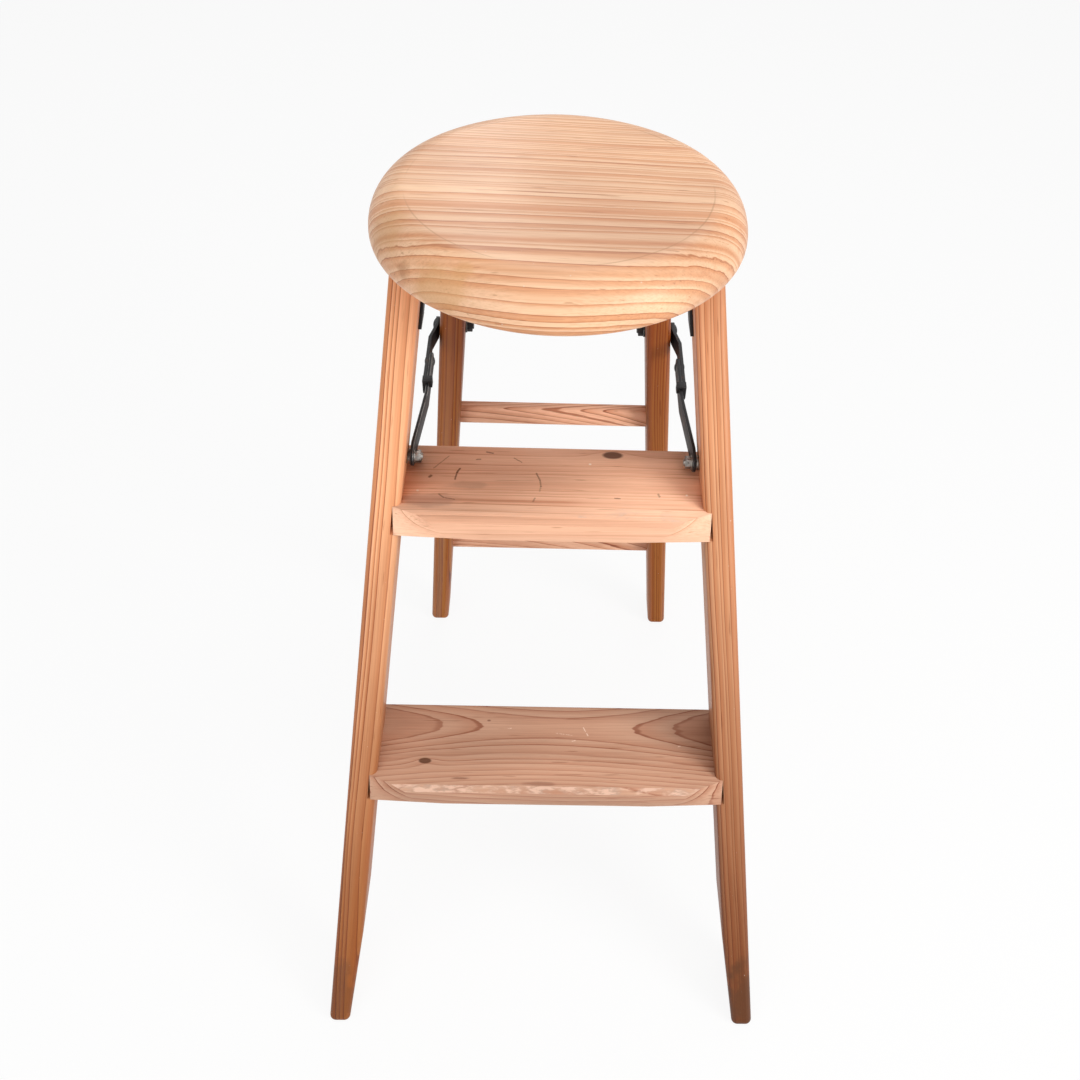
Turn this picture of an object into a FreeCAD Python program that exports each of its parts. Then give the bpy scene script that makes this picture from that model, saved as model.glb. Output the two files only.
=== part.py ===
import FreeCAD, Part
import math
import os

# Folding step stool: a round seat on a leaning front frame with two treads, and a
# narrower rear frame that hinges under the seat and is held open by two folding stays.
# Millimetres, +Z up, +X to the right seen from the front, -Y towards the front.
# The origin is on the floor, at the middle of the open stool's outline.
Vector = FreeCAD.Vector

# Whole stool
total_height = 727.5

# Seat
seat_diameter = 300.0
seat_flat_diameter = 243.0
seat_thickness = 44.5
seat_rim_drop = 31.0
seat_under_round = 13.0
seat_setback = 16.4

# Front legs
front_span_top = 265.3
front_lean_deg = 26.0
front_splay_deg = 6.8
front_leg_thickness = 25.8
front_leg_width = 68.0
front_leg_arris = 6.0
foot_taper = 6.0
foot_taper_height = 95.0

# Treads
lower_tread_height = 256.3
upper_tread_height = 488.7
tread_thickness = 23.0
tread_depth = 100.0
nose_projection = 14.5
nose_bevel = 5.0
nose_facet = 27.0
tread_back_round = 3.0
housing_depth = 7.0
housing_gap = 0.2

# Rear legs
rear_span_top = 196.5
rear_lean_deg = 11.2
rear_splay_deg = 4.9
rear_leg_thickness = 24.9
rear_foot_thickness = 22.0
rear_leg_width = 45.0
rear_leg_arris = 6.0
pivot_reach = 120.5
pivot_drop = 30.0

# Stretchers between the rear legs
stretcher_height = 22.0
stretcher_thickness = 12.0
stretcher_arris = 2.5
upper_stretcher_top = 399.3
lower_stretcher_top = 170.0
tenon_length = 11.0
tenon_height = 14.0
tenon_thickness = 8.0

# Seat brackets
plate_thickness = 3.0
leaf_width = 24.0
leaf_drop = 78.0
leaf_setback = 48.0
ear_radius = 18.0
flange_length = 76.0
flange_reach = 22.0

# Folding stays: a lower bar on the front leg, an upper bar on the rear leg
stay_width = 16.0
stay_thickness = 3.0
stay_front_rise = 13.5
stay_front_setback = 45.2
stay_rear_rise = 10.0
stay_upper_length = 58.0
stay_end_margin = 8.5
stay_front_gap = 3.1
stay_rear_gap = 1.4
stay_front_bend = 6.0
stay_end_flat = 10.0
stay_knee_flat = 28.0
stay_tail = 43.0
stay_tail_room = 13.0
stay_tab_length = 8.0
stay_tab_thickness = 2.5
stay_hook_depth = 5.0

# Bolts, nuts, washers and rivets
hinge_bolt_radius = 4.0
hinge_nut_flats = 13.0
stay_bolt_radius = 3.0
stay_nut_flats = 10.0
bolt_head_height = 3.2
stay_head_height = 1.4
bolt_head_overhang = 4.0
bolt_tip = 1.5
nut_height = 5.0
washer_thickness = 1.2
washer_overhang = 3.6
spacer_wall = 2.5
rivet_radius = 2.5
rivet_head_radius = 5.0
rivet_head_height = 1.8

# Wood screws
screw_radius = 2.0
screw_head_radius = 4.0
screw_head_height = 2.0
screw_head_sink = 0.4
tread_screw_length = 42.0
tread_screw_inset = 24.0
stretcher_screw_length = 40.0
leaf_screw_length = 19.0
leaf_screw_top = 14.0
leaf_screw_low = 62.0
flange_screw_length = 22.0
flange_screw_spread = 52.0

# Clearances
running = 0.08
seating = 0.05
side_play = 0.3

# Levels and slopes that follow from the sizes above
seat_under = total_height - seat_thickness
front_lean = math.tan(math.radians(front_lean_deg))
front_splay = math.tan(math.radians(front_splay_deg))
rear_lean = math.tan(math.radians(rear_lean_deg))
rear_splay = math.tan(math.radians(rear_splay_deg))
front_leg_run = front_leg_width / math.cos(math.radians(front_lean_deg))
front_leg_reach = front_leg_thickness / math.cos(math.radians(front_splay_deg))
rear_leg_reach = rear_leg_thickness / math.cos(math.radians(rear_splay_deg))
rear_foot_reach = rear_foot_thickness / math.cos(math.radians(rear_splay_deg))
rear_taper = (rear_leg_reach - rear_foot_reach) / seat_under
pivot_height = seat_under - pivot_drop
stay_front_height = upper_tread_height + stay_front_rise
stay_rear_height = stay_front_height + stay_rear_rise
plate_reach = plate_thickness / math.cos(math.radians(front_splay_deg))
far = 2.0 * total_height


def front_face(z):
    """y of the front legs' front face at height z; zero at the seat's underside."""
    return -front_lean * (seat_under - z)


def front_outer(z):
    """Half width across the front legs' outer faces at height z."""
    return front_span_top / 2 + front_splay * (seat_under - z)


def front_inner(z):
    """Half width between the front legs at height z."""
    return front_outer(z) - front_leg_reach


def rear_centre(z):
    """y of the rear legs' centre line at height z."""
    return pivot_reach + rear_lean * (pivot_height - z)


def rear_outer(z):
    """Half width across the rear legs' outer faces at height z."""
    return rear_span_top / 2 + rear_splay * (seat_under - z)


def rear_inner(z):
    """Half width between the rear legs at height z; the legs thin towards the feet."""
    return rear_outer(z) - rear_leg_reach + rear_taper * (seat_under - z)


# Directions square to the splayed faces, away from the stool's middle
front_side = Vector(1, 0, front_splay)
rear_outer_side = Vector(1, 0, rear_splay)
rear_inner_side = Vector(1, 0, rear_splay + rear_taper)
to_right = Vector(1, 0, 0)
to_left = Vector(-1, 0, 0)

# Places of the three hinges on the right-hand side
pivot = Vector(0, pivot_reach, pivot_height)
stay_front = Vector(0, front_face(stay_front_height) + stay_front_setback, stay_front_height)
stay_rear = Vector(0, rear_centre(stay_rear_height), stay_rear_height)


def box(low, high):
    size = high - low
    return Part.makeBox(size.x, size.y, size.z, low)


def rod(centre, x_low, x_high, radius):
    """A round bar along X through the centre's y and z."""
    start = Vector(x_low, centre.y, centre.z)
    return Part.makeCylinder(radius, x_high - x_low, start, to_right)


def drill(start, axis, radius, length):
    return Part.makeCylinder(radius, length, start, axis)


def trim(shape, point, outward):
    """What is left of a shape on the inner side of the plane through a point."""
    block = Part.makeBox(2 * far, 2 * far, far, Vector(-far, -far, 0))
    block.Placement = FreeCAD.Placement(point, FreeCAD.Rotation(Vector(0, 0, 1), outward))
    return shape.cut(block)


def extruded(points, travel):
    """A flat outline through the points, pulled along the travel vector."""
    return Part.Face(Part.makePolygon(points + points[:1])).extrude(travel)


def turned(edges, centre, axis):
    """A profile of edges turned all the way round an axis."""
    return Part.Face(Part.Wire(edges)).revolve(centre, axis, 360)


def dome(centre, x, radius, height, shank_radius, x_end):
    """A round head whose flat side is at x, with its shank from there to x_end."""
    out = 1 if x > x_end else -1
    ball = (radius * radius + height * height) / (2 * height)
    rise = height - ball + math.sqrt(ball * ball - radius * radius / 4)
    tip = Vector(x + out * height, centre.y, centre.z)
    brow = Vector(x + out * rise, centre.y, centre.z + radius / 2)
    edge = Vector(x, centre.y, centre.z + radius)
    neck = Vector(x, centre.y, centre.z + shank_radius)
    end = Vector(x_end, centre.y, centre.z + shank_radius)
    foot = Vector(x_end, centre.y, centre.z)
    profile = [
        Part.Arc(tip, brow, edge).toShape(), Part.makeLine(edge, neck),
        Part.makeLine(neck, end), Part.makeLine(end, foot), Part.makeLine(foot, tip),
    ]
    return turned(profile, foot, to_right)


def washer(centre, x_low, x_high, bore, outer):
    return rod(centre, x_low, x_high, outer).cut(rod(centre, x_low, x_high, bore))


def nut(centre, x_low, bore, flats):
    """A hexagonal nut along X, from x_low outwards."""
    corner = flats / math.sqrt(3)
    points = []
    for step in range(6):
        angle = math.radians(60 * step)
        y = centre.y + corner * math.cos(angle)
        points.append(Vector(x_low, y, centre.z + corner * math.sin(angle)))
    body = extruded(points, Vector(nut_height, 0, 0))
    return body.cut(rod(centre, x_low, x_low + nut_height, bore))


def screw(start, inward, length):
    """A countersunk wood screw, its head sunk just below the surface."""
    unit = Vector(inward).normalize()
    side = unit.cross(Vector(0, 1, 0)).normalize()
    top = start + unit * screw_head_sink
    rim = top + side * screw_head_radius
    neck = top + unit * screw_head_height + side * screw_radius
    tip = start + unit * length
    toe = tip - unit * 2 * screw_radius + side * screw_radius
    profile = [
        Part.makeLine(top, rim), Part.makeLine(rim, neck), Part.makeLine(neck, toe),
        Part.makeLine(toe, tip), Part.makeLine(tip, top),
    ]
    return turned(profile, top, unit)


def screw_hole(start, inward, length):
    """The hole and countersink that a screw sits in."""
    unit = Vector(inward).normalize()
    top = start + unit * screw_head_sink
    mouth_radius = screw_head_radius + seating
    hole_radius = screw_radius + seating
    mouth = drill(start - unit * mouth_radius, unit, mouth_radius, mouth_radius + screw_head_sink)
    sink = Part.makeCone(mouth_radius, hole_radius, screw_head_height, top, unit)
    return mouth.fuse(sink).fuse(drill(top, unit, hole_radius, length))


def mirrored(shape):
    return shape.mirror(Vector(0, 0, 0), to_right)


def both_sides(shape):
    """The right-hand solids and their left-hand twins, as one group."""
    return Part.makeCompound(shape.Solids + mirrored(shape).Solids)


def seat():
    """A turned disc: flat top, long rim curve, and a smaller round under the rim."""
    rim = seat_diameter / 2
    flat = seat_flat_diameter / 2
    side = seat_thickness - seat_rim_drop
    slope = math.sqrt(0.5)
    middle = Vector(0, seat_setback, seat_under)
    under = middle + Vector(rim - seat_under_round, 0, 0)
    low_mid = under + Vector(seat_under_round * slope, 0, side - side * slope)
    widest = middle + Vector(rim, 0, side)
    brow_mid = widest + Vector((rim - flat) * (slope - 1), 0, seat_rim_drop * slope)
    brow = middle + Vector(flat, 0, seat_thickness)
    crown = middle + Vector(0, 0, seat_thickness)
    profile = [
        Part.makeLine(middle, under), Part.Arc(under, low_mid, widest).toShape(),
        Part.Arc(widest, brow_mid, brow).toShape(), Part.makeLine(brow, crown),
        Part.makeLine(crown, middle),
    ]
    disc = turned(profile, middle, Vector(0, 0, 1))
    for spot in flange_screw_places():
        hole = drill(spot, Vector(0, 0, 1), screw_radius + seating, flange_screw_length)
        disc = disc.cut(hole).cut(mirrored(hole))
    return disc


def front_leg():
    """The right-hand front leg, leaning back and splayed, with its two housings."""
    outline = [
        Vector(0, front_face(0), 0), Vector(0, front_face(0) + front_leg_run, 0),
        Vector(0, front_leg_run, seat_under), Vector(0, 0, seat_under),
    ]
    leg = extruded(outline, Vector(far, 0, 0))
    leg = trim(leg, Vector(front_outer(0), 0, 0), front_side)
    leg = trim(leg, Vector(front_inner(0), 0, 0), front_side * -1)
    heel = Vector(front_inner(0) + foot_taper, 0, 0)
    rise = Vector(front_inner(foot_taper_height), 0, foot_taper_height) - heel
    leg = trim(leg, heel, Vector(-rise.z, 0, rise.x))
    edges = [edge for edge in leg.Edges if edge.BoundBox.Center.z < seat_under - 1]
    leg = leg.makeFillet(front_leg_arris, edges)
    for height in (lower_tread_height, upper_tread_height):
        leg = leg.cut(housing(height))
        for spot in tread_screw_places(height):
            leg = leg.cut(screw_hole(spot, to_left, tread_screw_length))
    for spot in leaf_screw_places():
        leg = leg.cut(screw_hole(spot, front_side, leaf_screw_length))
    return leg.cut(rod(stay_front, 0, far, stay_bolt_radius + seating))


def housing(height):
    """The groove across the right-hand leg that a tread's end is let into."""
    groove = box(Vector(0, -far, height - tread_thickness), Vector(far, far, height))
    wall = Vector(tread_end(height) + housing_gap, 0, height)
    return trim(groove, wall, front_side)


def tread_end(height):
    """x of a tread's square end, inside the housing of the right-hand leg."""
    return front_inner(height) + housing_depth


def tread(height):
    """A board with a bevelled nose, its front corners cut back flush with the legs."""
    end = tread_end(height)
    nose = front_face(height) - nose_projection
    low = height - tread_thickness
    board = box(Vector(-end, nose, low), Vector(end, nose + tread_depth, height))
    back = [edge for edge in board.Edges if edge.BoundBox.YMin > nose + 1 and edge.Length > end]
    board = board.makeFillet(tread_back_round, back)
    board = trim(board, Vector(0, nose, height - nose_bevel), Vector(0, -1, 1))
    board = board.cut(tread_corner(height)).cut(mirrored(tread_corner(height)))
    for spot in tread_screw_places(height):
        hole = screw_hole(spot, to_left, tread_screw_length)
        board = board.cut(hole).cut(mirrored(hole))
    return board


def tread_corner(height):
    """The wedge taken off a tread's right-hand front corner along the leg's lean."""
    end = tread_end(height)
    nose = front_face(height) - nose_projection
    tiers = []
    for z in (height - 2 * tread_thickness, height + tread_thickness):
        leg = Vector(end, front_face(z), z)
        face = Vector(end - nose_facet, nose, z)
        along = (face - leg).normalize() * far
        tiers.append([leg - along, leg + along, leg + along + Vector(far, -2 * far, 0)])
    wires = [Part.makePolygon(tier + tier[:1]) for tier in tiers]
    return Part.makeLoft(wires, True, True)


def tread_screw_places(height):
    """Where the screws into a tread's end start on the right-hand leg's outer face."""
    middle = height - tread_thickness / 2
    front = front_face(middle) + tread_screw_inset
    back = front_face(middle) + front_leg_run - tread_screw_inset
    return [Vector(front_outer(middle), y, middle) for y in (front, back)]


def rear_leg():
    """The right-hand rear leg: round about the hinge at its top, rounded at the foot."""
    half = rear_leg_width / 2
    lean = math.radians(rear_lean_deg)
    run = half / math.cos(lean)
    across = Vector(0, math.cos(lean), math.sin(lean)) * half
    up = Vector(0, -math.sin(lean), math.cos(lean)) * half
    foot_front = Vector(0, rear_centre(0) - run, 0)
    foot_back = Vector(0, rear_centre(0) + run, 0)
    edges = [
        Part.makeLine(foot_front, foot_back), Part.makeLine(foot_back, pivot + across),
        Part.Arc(pivot + across, pivot + up, pivot - across).toShape(),
        Part.makeLine(pivot - across, foot_front),
    ]
    leg = Part.Face(Part.Wire(edges)).extrude(Vector(far, 0, 0))
    leg = trim(leg, Vector(rear_outer(0), 0, 0), rear_outer_side)
    leg = trim(leg, Vector(rear_inner(0), 0, 0), rear_inner_side * -1)
    leg = leg.makeFillet(rear_leg_arris, leg.Edges)
    for top in (upper_stretcher_top, lower_stretcher_top):
        leg = leg.cut(tenon(top, seating))
        leg = leg.cut(screw_hole(stretcher_screw_place(top), to_left, stretcher_screw_length))
    leg = leg.cut(rod(stay_rear, 0, far, stay_bolt_radius + seating))
    return leg.cut(rod(pivot, 0, far, hinge_bolt_radius + running))


def tenon(top, gap):
    """The tenon at the right-hand end of a stretcher, grown by a gap for its mortise."""
    middle = top - stretcher_height / 2
    y = rear_centre(middle)
    shoulder = rear_inner(middle)
    return box(
        Vector(
            shoulder - tenon_length, y - tenon_thickness / 2 - gap,
            middle - tenon_height / 2 - gap,
        ),
        Vector(
            shoulder + tenon_length + gap, y + tenon_thickness / 2 + gap,
            middle + tenon_height / 2 + gap,
        ),
    )


def stretcher(top):
    """A rail between the rear legs, its shoulders cut to their splay, with two tenons."""
    low = top - stretcher_height
    y = rear_centre(top - stretcher_height / 2)
    end = rear_outer(low)
    half = stretcher_thickness / 2
    rail = box(Vector(-end, y - half, low), Vector(end, y + half, top))
    rail = rail.makeFillet(stretcher_arris, [edge for edge in rail.Edges if edge.Length > end])
    rail = trim(rail, Vector(rear_inner(low), 0, low), rear_inner_side)
    rail = trim(rail, Vector(-rear_inner(low), 0, low), Vector(-1, 0, rear_inner_side.z))
    rail = rail.fuse(tenon(top, 0)).fuse(mirrored(tenon(top, 0)))
    hole = screw_hole(stretcher_screw_place(top), to_left, stretcher_screw_length)
    return rail.cut(hole).cut(mirrored(hole)).removeSplitter()


def stretcher_screw_place(top):
    middle = top - stretcher_height / 2
    return Vector(rear_outer(middle), rear_centre(middle), middle)


def leaf_screw_places():
    """Where the screws start on the face of the right-hand bracket's leaf."""
    places = []
    for drop in (leaf_screw_top, leaf_screw_low):
        z = seat_under - drop
        places.append(Vector(front_inner(z) - plate_reach, front_face(z) + leaf_setback, z))
    return places


def flange_screw_places():
    """Where the screws start on the underside of the right-hand bracket's flange."""
    x = front_inner(seat_under) - flange_reach / 2
    z = seat_under - plate_thickness
    half = flange_screw_spread / 2
    return [Vector(x, leaf_setback - half, z), Vector(x, leaf_setback + half, z)]


def plate_on_leg(outline):
    """A plate cut to a (y, z) outline, lying against the front leg's inner face."""
    plate = extruded([Vector(0, y, z) for y, z in outline], Vector(far, 0, 0))
    return between_leg_planes(plate)


def between_leg_planes(shape):
    at_leg = Vector(front_inner(seat_under), 0, seat_under)
    shape = trim(shape, at_leg, front_side)
    return trim(shape, at_leg - Vector(plate_reach, 0, 0), front_side * -1)


def seat_bracket():
    """Steel bracket: leaf on the leg, ear for the hinge bolt, flange under the seat."""
    half = leaf_width / 2
    low = seat_under - leaf_drop
    foot = front_face(low) + leaf_setback
    ear_low = pivot_height - ear_radius
    ear_top = pivot_height + ear_radius
    front = leaf_setback - half
    leaf = plate_on_leg([
        (foot - half, low), (foot + half, low),
        (leaf_setback + half, seat_under), (front, seat_under),
    ])
    ear = plate_on_leg([
        (front_face(ear_low) + leaf_setback, ear_low), (pivot_reach, ear_low),
        (pivot_reach, ear_top), (leaf_setback + half, seat_under), (front, seat_under),
    ])
    tip = between_leg_planes(rod(pivot, 0, far, ear_radius))
    inner = front_inner(seat_under)
    flange = box(
        Vector(
            inner - flange_reach, leaf_setback - flange_length / 2,
            seat_under - plate_thickness,
        ),
        Vector(inner, leaf_setback + flange_length / 2, seat_under),
    )
    bracket = leaf.fuse(ear).fuse(tip).fuse(flange).removeSplitter()
    bracket = bracket.cut(rod(pivot, 0, far, hinge_bolt_radius + seating))
    for spot in leaf_screw_places():
        bracket = bracket.cut(screw_hole(spot, front_side, leaf_screw_length))
    for spot in flange_screw_places():
        bracket = bracket.cut(screw_hole(spot, Vector(0, 0, 1), flange_screw_length))
    return bracket


def stay_length():
    return (stay_rear - stay_front).Length


def stay_along():
    """The direction from the front end of the open stay to its rear end."""
    return (stay_rear - stay_front) * (1 / stay_length())


def stay_lower_length():
    return stay_length() - stay_upper_length


def knee():
    return stay_front + stay_along() * stay_lower_length()


def knee_face():
    """x of the plane in which the two bars of a stay meet at the knee."""
    return front_pad() - stay_front_bend


def front_pad():
    """x of the lower bar's outer side where it is bolted to the front leg."""
    return front_inner(stay_front_height) - stay_front_gap


def rear_pad():
    """x of the upper bar's inner side where it is bolted to the rear leg."""
    return rear_outer(stay_rear_height) + stay_rear_gap


def in_stay(shape, start):
    """Moves a shape drawn along X, upwards Y and outwards Z into the open stay."""
    along = stay_along()
    matrix = FreeCAD.Matrix(
        0, 0, 1, 0,
        along.y, -along.z, 0, start.y,
        along.z, along.y, 0, start.z,
        0, 0, 0, 1,
    )
    return shape.transformGeometry(matrix)


def bent_bar(low, high, bend, bend_end, side_before, side_after):
    """A round-ended bar from low to high that steps sideways from bend to bend_end."""
    half = stay_width / 2
    deep = Vector(0, 0, far)
    flat = [
        Part.makeLine(Vector(low + half, -half, 0), Vector(high - half, -half, 0)),
        Part.Arc(
            Vector(high - half, -half, 0), Vector(high, 0, 0), Vector(high - half, half, 0)
        ).toShape(),
        Part.makeLine(Vector(high - half, half, 0), Vector(low + half, half, 0)),
        Part.Arc(
            Vector(low + half, half, 0), Vector(low, 0, 0), Vector(low + half, -half, 0)
        ).toShape(),
    ]
    outline = Part.Face(Part.Wire(flat)).extrude(deep)
    stations = [low - half, bend, bend_end, high + half]
    sides = [side_before, side_before, side_after, side_after]
    inner = [Vector(x, -far, z) for x, z in zip(stations, sides)]
    outer = [point + Vector(0, 0, stay_thickness) for point in reversed(inner)]
    return outline.common(extruded(inner + outer, Vector(0, 2 * far, 0)))


def stay_lower():
    """The bar from the front leg to the knee; it lies inside the upper bar."""
    bar = bent_bar(
        -stay_end_margin, stay_lower_length() + stay_end_margin,
        stay_end_flat, stay_lower_length() - stay_tail - stay_tail_room,
        front_pad() - stay_thickness, knee_face() - side_play / 2 - stay_thickness,
    )
    bar = in_stay(bar, stay_front)
    bar = bar.cut(rod(stay_front, 0, far, stay_bolt_radius + running))
    return bar.cut(rod(knee(), 0, far, rivet_radius + seating))


def stay_upper():
    """The bar from the rear leg past the knee, with the tab that stops the lower bar."""
    half = stay_width / 2
    inside = knee_face() + side_play / 2
    outside = inside + stay_thickness
    bar = bent_bar(
        -stay_tail, stay_upper_length + stay_end_margin,
        stay_knee_flat, stay_upper_length - stay_end_flat, inside, rear_pad(),
    )
    over = half + side_play
    behind = knee_face() - 1.5 * side_play - stay_thickness
    hook_side = behind - stay_tab_thickness
    back = -stay_tail + stay_tab_length
    cheek = box(Vector(-stay_tail, 0, inside), Vector(back, over, outside))
    bridge = box(
        Vector(-stay_tail, over, hook_side), Vector(back, over + stay_tab_thickness, outside)
    )
    hook = box(Vector(-stay_tail, over - stay_hook_depth, hook_side), Vector(back, over, behind))
    bar = bar.fuse(cheek).fuse(bridge).fuse(hook).removeSplitter()
    bar = in_stay(bar, knee())
    bar = bar.cut(rod(stay_rear, 0, far, stay_bolt_radius + running))
    return bar.cut(rod(knee(), 0, far, rivet_radius + seating))


def knee_rivet_inner():
    """The half of the knee rivet that holds the lower bar."""
    face = knee_face() - side_play / 2
    return dome(
        knee(), face - stay_thickness, rivet_head_radius, rivet_head_height,
        rivet_radius, face,
    )


def knee_rivet_outer():
    """The half of the knee rivet that holds the upper bar."""
    face = knee_face() + side_play / 2
    return dome(
        knee(), face + stay_thickness, rivet_head_radius, rivet_head_height,
        rivet_radius, face,
    )


def headed_bolt(centre, head_x, tip_x, radius, height=bolt_head_height):
    return dome(centre, head_x, radius + bolt_head_overhang, height, radius, tip_x)


def front_stay_set():
    """Bolt, washers and nut that hold the lower bar to the front leg."""
    z = stay_front_height
    bore = stay_bolt_radius + seating
    outer = stay_bolt_radius + washer_overhang
    face = Vector(front_inner(z), 0, z)
    wedge = washer(stay_front, front_pad() + seating, face.x + outer, bore, outer)
    wedge = trim(wedge, face, front_side)
    plate_x = front_pad() - stay_thickness - seating
    plate = washer(stay_front, plate_x - washer_thickness, plate_x, bore, outer)
    nut_x = plate_x - washer_thickness - nut_height
    head_radius = stay_bolt_radius + bolt_head_overhang
    head_x = front_outer(z) + front_splay * head_radius
    collar = rod(stay_front, front_outer(z) - head_radius, head_x, head_radius)
    collar = trim(collar, Vector(front_outer(z), 0, z), front_side * -1)
    tip_x = nut_x - bolt_tip
    bolt = headed_bolt(stay_front, head_x, tip_x, stay_bolt_radius, stay_head_height).fuse(collar)
    washers = Part.makeCompound([wedge, plate])
    return {"bolts": bolt, "washers": washers, "nuts": nut(stay_front, nut_x, bore, stay_nut_flats)}


def rear_stay_set():
    """Bolt, washers and nut that hold the upper bar to the rear leg."""
    z = stay_rear_height
    bore = stay_bolt_radius + seating
    outer = stay_bolt_radius + washer_overhang
    out_face = Vector(rear_outer(z), 0, z)
    in_face = Vector(rear_inner(z), 0, z)
    wedge = washer(stay_rear, out_face.x - outer, rear_pad() - seating, bore, outer)
    wedge = trim(wedge, out_face, rear_outer_side * -1)
    slope = (rear_splay + rear_taper) * outer
    plate_x = in_face.x - slope - washer_thickness
    plate = washer(stay_rear, plate_x, in_face.x + outer, bore, outer)
    plate = trim(plate, in_face, rear_inner_side)
    nut_x = plate_x - nut_height
    head_x = rear_pad() + stay_thickness + seating
    bolt = headed_bolt(stay_rear, head_x, nut_x - bolt_tip, stay_bolt_radius)
    washers = Part.makeCompound([wedge, plate])
    return {"bolts": bolt, "washers": washers, "nuts": nut(stay_rear, nut_x, bore, stay_nut_flats)}


def hinge_set():
    """Bolt, spacer, washer and nut of the hinge between bracket and rear leg."""
    z = pivot_height
    bore = hinge_bolt_radius + seating
    ear_out = Vector(front_inner(z), 0, z)
    ear_in = ear_out - Vector(plate_reach, 0, 0)
    wide = hinge_bolt_radius + spacer_wall
    start = rear_outer(z) + rear_splay * wide + side_play
    spacer = washer(pivot, start, ear_out.x, bore, wide)
    spacer = trim(spacer, ear_in, front_side)
    outer = hinge_bolt_radius + washer_overhang
    plate_x = rear_inner(z) - rear_inner_side.z * outer - side_play - washer_thickness
    plate = washer(pivot, plate_x, plate_x + washer_thickness, bore, outer)
    nut_x = plate_x - nut_height
    head_radius = hinge_bolt_radius + bolt_head_overhang
    head_x = ear_out.x + front_splay * head_radius
    collar = rod(pivot, ear_out.x - head_radius, head_x, head_radius)
    collar = trim(collar, ear_out, front_side * -1)
    bolt = headed_bolt(pivot, head_x, nut_x - bolt_tip, hinge_bolt_radius).fuse(collar)
    pieces = {"bolts": bolt, "spacers": spacer, "washers": plate}
    pieces["nuts"] = nut(pivot, nut_x, bore, hinge_nut_flats)
    return pieces


def screws(places, inward, length):
    return both_sides(Part.makeCompound([screw(spot, inward, length) for spot in places]))


def build():
    """Every node of the stool by name, before the origin is moved under its middle."""
    nodes = {
        "seat": seat(),
        "tread_upper": tread(upper_tread_height),
        "tread_lower": tread(lower_tread_height),
        "rear_stretcher_upper": stretcher(upper_stretcher_top),
        "rear_stretcher_lower": stretcher(lower_stretcher_top),
    }
    handed = {
        "front_leg": front_leg(),
        "rear_leg": rear_leg(),
        "seat_bracket": seat_bracket(),
        "stay_lower_arm": stay_lower(),
        "stay_upper_arm": stay_upper(),
        "knee_rivet_inner": knee_rivet_inner(),
        "knee_rivet_outer": knee_rivet_outer(),
    }
    for name, shape in handed.items():
        nodes[name + "_right"] = shape
        nodes[name + "_left"] = mirrored(shape)
    sets = {
        "front_stay": front_stay_set(),
        "rear_stay": rear_stay_set(),
        "hinge": hinge_set(),
    }
    for name, pieces in sets.items():
        for kind, piece in pieces.items():
            nodes[name + "_" + kind] = both_sides(piece)
    stretcher_spots = [
        stretcher_screw_place(upper_stretcher_top), stretcher_screw_place(lower_stretcher_top),
    ]
    tread_spots = tread_screw_places(upper_tread_height) + tread_screw_places(lower_tread_height)
    up = Vector(0, 0, 1)
    nodes["tread_screws"] = screws(tread_spots, to_left, tread_screw_length)
    nodes["stretcher_screws"] = screws(stretcher_spots, to_left, stretcher_screw_length)
    nodes["bracket_leg_screws"] = screws(leaf_screw_places(), front_side, leaf_screw_length)
    nodes["bracket_seat_screws"] = screws(flange_screw_places(), up, flange_screw_length)
    return nodes


def main():
    nodes = build()
    outline = Part.makeCompound(list(nodes.values())).optimalBoundingBox(False)
    shift = Vector(0, -(outline.YMin + outline.YMax) / 2, 0)
    os.makedirs("parts", exist_ok=True)
    for name, shape in nodes.items():
        shape.translate(shift)
        shape.exportStep("parts/" + name + ".step")


main()
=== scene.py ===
"""Looks of a folding step stool chair: turned seat, treads, splayed legs and folding stays."""

import logging
import math
from dataclasses import dataclass, field
from enum import Enum
from typing import Any, Optional, Sequence, Union

import bmesh
import bpy
from mathutils import Matrix, Vector


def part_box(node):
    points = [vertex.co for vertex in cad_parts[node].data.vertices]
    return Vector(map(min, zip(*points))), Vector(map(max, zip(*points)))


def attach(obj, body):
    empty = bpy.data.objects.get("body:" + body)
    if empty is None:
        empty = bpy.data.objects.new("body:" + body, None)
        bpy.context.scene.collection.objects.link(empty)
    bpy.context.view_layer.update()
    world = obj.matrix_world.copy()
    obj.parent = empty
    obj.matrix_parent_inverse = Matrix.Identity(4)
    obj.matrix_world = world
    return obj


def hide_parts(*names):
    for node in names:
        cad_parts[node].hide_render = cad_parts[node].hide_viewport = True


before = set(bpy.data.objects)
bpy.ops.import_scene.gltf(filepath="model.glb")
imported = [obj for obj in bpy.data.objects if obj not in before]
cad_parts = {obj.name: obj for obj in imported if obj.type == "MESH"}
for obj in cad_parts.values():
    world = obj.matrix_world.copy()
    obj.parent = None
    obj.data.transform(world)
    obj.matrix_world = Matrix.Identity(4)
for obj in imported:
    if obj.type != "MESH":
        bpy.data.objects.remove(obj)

log = logging.getLogger("stool")
Triple = tuple[float, float, float]

EULER = 2.71828
UPPER_TOP, LOWER_TOP = 0.4887, 0.2563  # heights of the treads' top faces
FRONT_LEAN, REAR_LEAN = (math.tan(math.radians(angle)) for angle in (26.0, 11.2))
FRONT_SPLAY, REAR_SPLAY = (math.tan(math.radians(angle)) for angle in (6.8, 4.9))
SMOOTH = 32.0  # edges that turn by less, in degrees, are shaded smooth
WELD = 2e-6
FLAT = math.radians(0.6)


class Side(Enum):
    """The two sides of the stool, seen from the front."""

    LEFT = -1
    RIGHT = 1

    @property
    def word(self) -> str:
        """The side's name as the model's nodes spell it."""
        return self.name.lower()


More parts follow.
